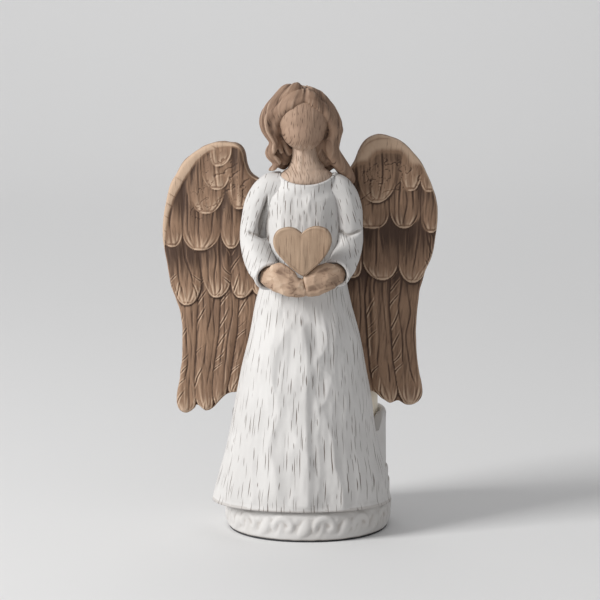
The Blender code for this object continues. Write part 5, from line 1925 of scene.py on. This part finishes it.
class ScrollFrieze:
    """Node tree that sets two worn motifs in turn along a closed rail."""

    def __init__(self) -> None:
        """Build the tree."""
        self.tree = bpy.data.node_groups.new("scroll_frieze", "GeometryNodeTree")
        face = self.tree.interface
        face.new_socket(name="Geometry", in_out="INPUT", socket_type="NodeSocketGeometry")
        for name, kind, value in (("Motif Count", "NodeSocketInt", 26), ("Size", NUMBER, 1.0),
                                  ("Size Change", NUMBER, 0.12), ("Seed", "NodeSocketInt", 4)):
            face.new_socket(name=name, in_out="INPUT", socket_type=kind).default_value = value
        for name, kind in (("Scroll", "NodeSocketObject"), ("Drop", "NodeSocketObject"),
                           ("Finish", "NodeSocketMaterial")):
            face.new_socket(name=name, in_out="INPUT", socket_type=kind)
        face.new_socket(name="Geometry", in_out="OUTPUT", socket_type="NodeSocketGeometry")
        self.wire()

    def add(self, kind: str, **settings: object) -> bpy.types.Node:
        """Add a node to the tree and return it."""
        made = self.tree.nodes.new(kind)
        for key, value in settings.items():
            setattr(made, key, value)
        return made

    def wire(self) -> None:
        """Place and link the nodes."""
        link = self.tree.links.new
        given = self.add("NodeGroupInput").outputs
        rail = self.add("GeometryNodeMeshToCurve")
        link(given["Geometry"], rail.inputs["Mesh"])
        spaced = self.add("GeometryNodeResampleCurve")
        link(rail.outputs["Curve"], spaced.inputs["Curve"])
        link(given["Motif Count"], spaced.inputs["Count"])
        tangent = self.add("GeometryNodeInputTangent")
        turned_to = self.add("FunctionNodeAlignRotationToVector", axis="X", pivot_axis="Z")
        link(tangent.outputs["Tangent"], turned_to.inputs["Vector"])
        index = self.add("GeometryNodeInputIndex")
        parity = self.add("ShaderNodeMath", operation="MODULO")
        link(index.outputs["Index"], parity.inputs[0])
        parity.inputs[1].default_value = 2.0
        low = self.add("ShaderNodeMath", operation="SUBTRACT")
        link(given["Size"], low.inputs[0])
        link(given["Size Change"], low.inputs[1])
        high = self.add("ShaderNodeMath", operation="ADD")
        link(given["Size"], high.inputs[0])
        link(given["Size Change"], high.inputs[1])
        size = self.add("FunctionNodeRandomValue", data_type="FLOAT")
        link(low.outputs[0], size.inputs[2])
        link(high.outputs[0], size.inputs[3])
        link(given["Seed"], size.inputs["Seed"])
        both = self.add("GeometryNodeJoinGeometry")
        for name, wanted in (("Scroll", 0.0), ("Drop", 1.0)):
            chosen = self.add("ShaderNodeMath", operation="COMPARE")
            link(parity.outputs[0], chosen.inputs[0])
            chosen.inputs[1].default_value = wanted
            chosen.inputs[2].default_value = 0.1
            motif = self.add("GeometryNodeObjectInfo")
            link(given[name], motif.inputs["Object"])
            placed = self.add("GeometryNodeInstanceOnPoints")
            link(spaced.outputs["Curve"], placed.inputs["Points"])
            link(chosen.outputs[0], placed.inputs["Selection"])
            link(motif.outputs["Geometry"], placed.inputs["Instance"])
            link(turned_to.outputs["Rotation"], placed.inputs["Rotation"])
            link(size.outputs[1], placed.inputs["Scale"])
            link(placed.outputs["Instances"], both.inputs["Geometry"])
        real = self.add("GeometryNodeRealizeInstances")
        link(both.outputs["Geometry"], real.inputs["Geometry"])
        finish = self.add("GeometryNodeSetMaterial")
        link(real.outputs["Geometry"], finish.inputs["Geometry"])
        link(given["Finish"], finish.inputs["Material"])
        out = self.add("NodeGroupOutput")
        link(finish.outputs["Geometry"], out.inputs["Geometry"])

    def run(self, rail: bpy.types.Object, values: dict[str, object]) -> bpy.types.Object:
        """Set the named inputs on the rail and turn the result into plain mesh.

        Args:
            rail: object with the closed line.
            values: input values by name.

        Returns:
            The rail object, now holding the motifs.
        """
        change = rail.modifiers.new("frieze", "NODES")
        change.node_group = self.tree
        for item in self.tree.interface.items_tree:
            if item.in_out == "INPUT" and item.name in values:
                change[item.identifier] = values[item.name]
        return baked(rail)


@dataclass
class StandForm:
    """Oval base with its worn scroll frieze, on a felt pad."""

    half: Point2 = (33.0, 39.8)
    power: float = 2.15
    bottom: float = 0.55
    top: float = 12.0
    felt_half: Point2 = (32.3, 39.1)
    frieze_height: float = 5.9
    motifs: int = 28
    voxel: float = 0.56

    def oval(self, half: Point2, z: float, steps: int) -> np.ndarray:
        """Points of the oval at one height."""
        angle = np.linspace(0.0, 2.0 * math.pi, steps, endpoint=False)
        c, s = np.cos(angle), np.sin(angle)
        x = half[0] * np.sign(c) * np.abs(c) ** (2.0 / self.power)
        y = half[1] * np.sign(s) * np.abs(s) ** (2.0 / self.power)
        return np.column_stack([x, y, np.full(steps, z)])

    def motif(self, name: str, limbs: tuple[Rows, ...], flat: float) -> bpy.types.Object:
        """One raised motif in its own upright plane."""
        clay = Clay()
        for rows in limbs:
            clay.limb(rows, flat=flat, steps=10, count=16)
        return new_object(name, np.concatenate(clay.points), clay.faces)

    def frieze(self, finish: bpy.types.Material) -> bpy.types.Object:
        """Motifs set round the base."""
        scroll = self.motif("scroll_motif", (
            ((-3.4, 0.1, -1.4, 0.9), (-3.2, 0.0, 1.0, 1.2), (-1.2, 0.0, 3.2, 1.35),
             (1.6, 0.0, 3.0, 1.35), (3.4, 0.0, 0.8, 1.2), (2.6, 0.1, -1.2, 1.0),
             (1.2, 0.1, -0.4, 0.9)),
            ((-0.4, 0.2, 3.0, 1.0), (-0.6, 0.1, 0.4, 1.0), (-1.6, 0.2, -2.6, 0.9),
             (-3.0, 0.3, -3.4, 0.7))), 0.62)
        drop = self.motif("drop_motif", (
            ((1.8, 0.1, 3.6, 0.9), (1.4, 0.0, 1.4, 1.9), (0.4, 0.0, -0.8, 2.2),
             (-1.0, 0.0, -2.6, 1.4), (-2.2, 0.1, -3.6, 0.7)),
            ((-2.4, 0.2, 1.4, 0.8), (-2.6, 0.1, 2.4, 1.2), (-2.2, 0.2, 3.4, 0.8))), 0.5)
        line = self.oval((self.half[0] - 0.1, self.half[1] - 0.1), self.frieze_height, 240)
        mesh = bpy.data.meshes.new("frieze_rail")
        count = len(line)
        mesh.from_pydata((line * MM).tolist(), [(i, (i + 1) % count) for i in range(count)], [])
        rail = bpy.data.objects.new("frieze_rail", mesh)
        bpy.context.scene.collection.objects.link(rail)
        made = ScrollFrieze().run(rail, {
            "Motif Count": self.motifs, "Size": 1.06, "Size Change": 0.08, "Seed": 4,
            "Scroll": scroll, "Drop": drop, "Finish": finish})
        for helper in (scroll, drop):
            bpy.data.objects.remove(helper, do_unlink=True)
        return made

    def base(self, finish: bpy.types.Material) -> bpy.types.Object:
        """Base and frieze pressed into one soft skin."""
        rows = []
        for z, inset in ((self.bottom, 0.9), (self.bottom + 0.3, 0.3), (self.bottom + 1.0, 0.0),
                         (10.3, 0.0), (10.8, 0.25), (11.4, 0.5), (self.top, 1.1)):
            rows.append(self.oval((self.half[0] - inset, self.half[1] - inset), z, 200))
        frieze = self.frieze(finish)
        clay = Clay()
        clay.grid(np.array(rows))
        motifs = points_of(frieze)
        clay.points.append(motifs)
        clay.faces += [tuple(index + clay.count for index in face.vertices)
                       for face in frieze.data.polygons]
        clay.count += len(motifs)
        bpy.data.objects.remove(frieze, do_unlink=True)
        made = clay.skin("base_with_frieze", self.voxel, 4)
        points = points_of(made)
        normals = normals_of(made)
        x, y, z = points.T
        reach = (np.abs(x / self.half[0]) ** self.power + np.abs(y / self.half[1]) ** self.power)
        level = np.clip((reach ** (1.0 / self.power) - 1.0) * 36.0, -1.0, 1.5)
        worn = 0.10 * noise(x / 3.0, y / 3.0, z / 3.0, 61)
        set_points(made, points + normals * worn[:, None])
        side = ramp(1.0 - np.abs(normals[:, 2]), 0.3, 0.8)
        hollow = (eased(made, level, 10) - level) * side
        # Painted shade along the lowest edge of the base, where it meets the floor.
        foot = ramp(z, self.bottom + 0.9, self.bottom + 0.2)
        set_field(made, "hollow", np.clip(hollow / 0.3, -1.0, 1.0) + foot)
        set_field(made, "grain", np.column_stack([x, z, y]))
        return made

    def felt(self) -> bpy.types.Object:
        """Felt pad with a slightly rounded cut edge."""
        rows = [self.oval((self.felt_half[0] - inset, self.felt_half[1] - inset), z, 160)
                for z, inset in ((0.0, 0.25), (0.12, 0.05), (0.4, 0.0), (0.75, 0.05), (0.9, 0.5))]
        clay = Clay()
        clay.grid(np.array(rows))
        return new_object("felt_sheet", np.concatenate(clay.points), clay.faces)


@dataclass
class CupForm:
    """Turned candle cup with a foot, a bead and a rim that dips at the front."""

    axis: Point2 = (0.0, CUP_Y)
    rim: float = 46.5
    carved_reach: float = 31.0
    steps: int = 240
    dip: Rows = ((-40.0, 39.4), (-5.4, 39.4), (-1.2, 45.6), (-0.4, 48.0), (50.0, 48.0))

    def build(self) -> bpy.types.Object:
        """Make the cup.

        Returns:
            The finished object.
        """
        corners = (
            (0.05, 35.0), (28.5, 35.0), (28.5, 44.9), (29.1, 46.1), (30.2, self.rim), (31.0, 46.1),
            (31.5, 44.9), (31.5, 23.1), (32.4, 22.2), (32.4, 17.8), (33.0, 17.2), (33.0, SEAT_Z),
            (28.6, SEAT_Z), (28.6, 31.0), (0.05, 31.0))
        profile = rounded(corners, 0.9, 5)
        dense = [profile[0]]
        for before, after in zip(profile, profile[1:]):
            gap = math.dist(before, after)
            parts = max(1, int(gap / 1.6))
            for part in range(1, parts + 1):
                t = part / parts
                dense.append((before[0] + (after[0] - before[0]) * t,
                              before[1] + (after[1] - before[1]) * t))
        made = turned("cup_turned", tuple(dense), self.axis, self.steps)
        points = points_of(made)
        x, y, z = points.T
        dip = np.array(self.dip)
        points[:, 2] = np.minimum(z, np.interp(y, dip[:, 0], dip[:, 1]))
        angle = np.arctan2(y - self.axis[1], x)
        away = np.hypot(x, y - self.axis[1])
        outer = ramp(away, 29.5, self.carved_reach) * ramp(z, 24.0, 26.0) * ramp(z, 44.5, 42.5)
        relief = 0.16 * noise(angle * 7.0, z / 8.0, angle * 0, 65) * outer
        points[:, 0] += relief * np.cos(angle)
        points[:, 1] += relief * np.sin(angle)
        set_points(made, points)
        hollow = 0.9 * np.exp(-(((z - 23.2) / 0.5) ** 2)) + 0.8 * np.exp(-(((z - 17.4) / 0.5) ** 2))
        # Painted shade inside the cup, on its floor and the bottom of its inner wall.
        inner = ramp(away, 28.9, 28.4) * ramp(z, 37.5, 35.2)
        hollow = hollow * ramp(away, 30.0, self.carved_reach) + inner * 0.6
        set_field(made, "hollow", np.clip(hollow, 0, 1))
        set_field(made, "grain", np.column_stack([angle * self.carved_reach, z, 0.0 * z]))
        return made


@dataclass
class CandleForm:
    """Battery candle: hollow shell with bosses, flame tip and the parts under it."""

    axis: Point2 = (0.0, CUP_Y)
    steps: int = 144
    bosses: tuple[float, ...] = (-19.6, 19.6)
    boss_behind: float = 4.3

    def shell(self) -> bpy.types.Object:
        """Hollow candle body with its screw bosses."""
        profile = (
            (3.6, 56.2), (3.8, 56.55), (8.0, 56.65), (12.0, 56.9), (17.0, 57.2), (21.0, 57.6),
            (23.6, 58.4), (25.2, 58.95), (26.2, 59.0), (27.2, 58.6), (27.8, 57.8), (28.0, 56.6),
            (28.0, 50.0), (28.0, 43.0), (28.0, 36.2), (27.7, 35.5), (27.2, 35.3), (26.4, 35.3),
            (26.4, 45.0), (26.4, 56.0), (25.6, 56.5), (22.0, 56.0), (12.0, 55.2), (3.6, 54.8))
        made = turned("candle_body_turned", profile, self.axis, self.steps, hollow=True)
        pieces = [points_of(made)]
        faces = [tuple(face.vertices) for face in made.data.polygons]
        count = len(pieces[0])
        boss_rows = ((0.05, 56.5), (2.6, 56.5), (2.6, 38.7), (1.4, 38.7), (1.4, 47.5), (0.05, 47.5))
        for x in self.bosses:
            boss = turned("boss", boss_rows, (x, self.axis[1] + self.boss_behind), 32)
            pieces.append(points_of(boss))
            faces += [tuple(index + count for index in face.vertices) for face in boss.data.polygons]
            count += len(pieces[-1])
            bpy.data.objects.remove(boss, do_unlink=True)
        bpy.data.objects.remove(made, do_unlink=True)
        joined = new_object("candle_body_turned", np.concatenate(pieces), faces)
        points = points_of(joined)
        x, y, z = points.T
        top = ramp(z, 56.0, 57.0) * ramp(np.hypot(x, y - self.axis[1]), 27.0, 24.0)
        points[:, 2] += 0.25 * noise(x / 7.0, y / 7.0, 0.0 * z, 66) * top
        set_points(joined, points)
        return joined

    def flame(self) -> bpy.types.Object:
        """Teardrop flame with a slight lean, over its hidden flange."""
        profile = rounded((
            (0.05, 75.9), (0.9, 74.4), (2.2, 71.6), (3.8, 68.0), (4.7, 64.4), (4.4, 61.0),
            (3.2, 58.4), (3.2, 54.5), (5.6, 54.5), (5.6, 53.3), (2.0, 53.3), (2.0, 56.5),
            (0.05, 57.5)), 1.4, 4)
        made = turned("flame_turned", profile, self.axis, 48)
        points = points_of(made)
        lean = ramp(points[:, 2], 62.0, 76.0)
        points[:, 0] += 0.5 * lean**2
        set_points(made, points)
        return made


@dataclass
class Studio:
    """Pale sweep, soft light from the left and the camera."""

    azimuth: float = 3.0
    elevation: float = 7.3
    distance: float = 1.1
    target: Point3 = (-0.0034, 0.0, 0.0915)
    lens: float = 163.0

    def sweep(self) -> None:
        """Floor that curves up into a backdrop."""
        profile = [(-2.5, 0.0), (0.6, 0.0), (1.4, 0.0)]
        for step in range(1, 17):
            turn = 0.5 * math.pi * step / 16.0
            profile.append((1.4 + 1.2 * math.sin(turn), 1.2 - 1.2 * math.cos(turn)))
        profile.append((2.6, 4.0))
        points = [(side * 3.5, y, z) for y, z in profile for side in (-1.0, 1.0)]
        faces = [(2 * i, 2 * i + 1, 2 * i + 3, 2 * i + 2) for i in range(len(profile) - 1)]
        mesh = bpy.data.meshes.new("pale_sweep")
        mesh.from_pydata(points, [], faces)
        shade_smooth(mesh)
        made = bpy.data.objects.new("pale_sweep", mesh)
        bpy.context.scene.collection.objects.link(made)
        finish, _, shader = open_material("pale_sweep_paint", 0.9)
        shader.inputs["Base Color"].default_value = (0.76, 0.76, 0.76, 1.0)
        shader.inputs["Specular IOR Level"].default_value = 0.1
        mesh.materials.append(finish)

    def lamp(self, name: str, place: Point3, aim: Point3, size: Point2, power: float,
             tint: Point3 = (1.0, 1.0, 1.0)) -> None:
        """Add a soft rectangular light."""
        light = bpy.data.lights.new(name, "AREA")
        light.shape = "RECTANGLE"
        light.size, light.size_y = size
        light.energy = power
        light.color = tint
        made = bpy.data.objects.new(name, light)
        made.location = place
        made.rotation_euler = (Vector(aim) - Vector(place)).to_track_quat("-Z", "Y").to_euler()
        bpy.context.scene.collection.objects.link(made)

    def light(self) -> None:
        """Window light from the front left, a lamp for the backdrop and an even surround."""
        world = bpy.data.worlds.new("surround")
        world.use_nodes = True
        backing = world.node_tree.nodes["Background"]
        backing.inputs["Color"].default_value = (0.99, 0.99, 1.0, 1.0)
        backing.inputs["Strength"].default_value = 0.44
        bpy.context.scene.world = world
        self.lamp("window", (-1.24, -0.80, 0.84), (0.0, 0.0, 0.08), (0.6, 0.6), 25.5,
                  (1.0, 0.995, 0.985))
        self.lamp("backdrop", (-0.3, 1.9, 1.5), (-0.1, 2.0, 0.0), (2.0, 1.4), 8.0)

    def camera(self) -> None:
        """Aim the camera at the figure."""
        lens = bpy.data.cameras.new("view")
        lens.lens = self.lens
        lens.sensor_width = 36.0
        made = bpy.data.objects.new("view", lens)
        turn, lift = math.radians(self.azimuth), math.radians(self.elevation)
        aim = Vector(self.target)
        away = Vector((math.sin(turn) * math.cos(lift), -math.cos(turn) * math.cos(lift),
                       math.sin(lift)))
        made.location = aim + away * self.distance
        made.rotation_euler = (-away).to_track_quat("-Z", "Y").to_euler()
        bpy.context.scene.collection.objects.link(made)
        bpy.context.scene.camera = made

    def build(self) -> None:
        """Set the camera, the sweep and the light."""
        self.camera()
        self.sweep()
        self.light()
        bpy.context.scene.view_settings.view_transform = "Standard"


# ---------------------------------------------------------------- the whole figurine


def build_figurine() -> None:
    """Make every piece that rides on the figurine."""
    dress = DRESS_PAINT.material()
    cream = BASE_PAINT.material()
    stand = StandForm()
    dress_piece(stand.felt(), FELT.material(), "felt", BODY, "felt_pad")
    dress_piece(stand.base(cream), cream, "cream_paint", BODY, "base_plinth")
    dress_piece(CupForm().build(), cream, "cream_paint", BODY, "candle_cup")
    dress_piece(DressForm().build(), dress, "dress_cream", BODY, "dress")
    for sleeve in (RIGHT_SLEEVE, LEFT_SLEEVE):
        dress_piece(sleeve.build(), dress, "dress_cream", BODY, sleeve.side.label + "_sleeve")
    dress_piece(HeadForm().build(), SKIN_PAINT.material(), "skin_tan", BODY, "head")
    dress_piece(HairForm().build(), HAIR_PAINT.material(), "hair_brown", BODY, "hair")
    for hand in (RIGHT_HAND, LEFT_HAND):
        dress_piece(hand.build(), HAND_PAINT.material(), "skin_tan", BODY, hand.side.label + "_hand")
    dress_piece(HeartForm().build(), HEART_PAINT.material(), "heart_tan", BODY, "heart")
    for wing in (RIGHT_WING, LEFT_WING):
        dress_piece(wing.build(), WING_PAINT.material(), "carved_wood_brown", BODY,
                    wing.side.label + "_wing")


def build_candle() -> None:
    """Make the candle's visible pieces."""
    candle = CandleForm()
    dress_piece(candle.shell(), WAX.material(), "candle_ivory", CANDLE_BODY, "candle_shell")
    dress_piece(candle.flame(), AMBER.material(), "flame_amber", CANDLE_BODY, "flame_tip")


def dress_nodes(nodes: dict[str, bpy.types.Object]) -> None:
    """Give the CAD nodes that stay on show their finishes.

    Args:
        nodes: CAD objects by node name.
    """
    finishes = {
        "right_wing_dowel_upper": STEEL, "right_wing_dowel_lower": STEEL,
        "left_wing_dowel_upper": STEEL, "left_wing_dowel_lower": STEEL,
        "candle_chassis": BLACK, "battery_door": BLACK, "switch_slider": BLACK,
        "led_lamp": LAMP, "circuit_board": BOARD, "coin_battery": STEEL,
        "battery_contact_top": STEEL, "battery_contact_side": STEEL,
        "chassis_screw_left": STEEL, "chassis_screw_right": STEEL,
    }
    for name, finish in finishes.items():
        slots = nodes[name].material_slots
        for slot in slots:
            slot.material = finish.material()
        log.info("%s keeps its CAD shape", name)


def plain(box: object) -> list[list[float]]:
    """A box as plain lists of numbers."""
    return [[float(value) for value in corner] for corner in box]


def main(nodes: dict[str, bpy.types.Object]) -> None:
    """Build the scene in order.

    Args:
        nodes: CAD objects by node name.
    """
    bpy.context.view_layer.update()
    Studio().build()
    build_figurine()
    build_candle()
    dress_nodes(nodes)


if __name__ == "__main__":
    logging.basicConfig(level=logging.INFO, format="%(message)s")
    main(frame["nodes"])
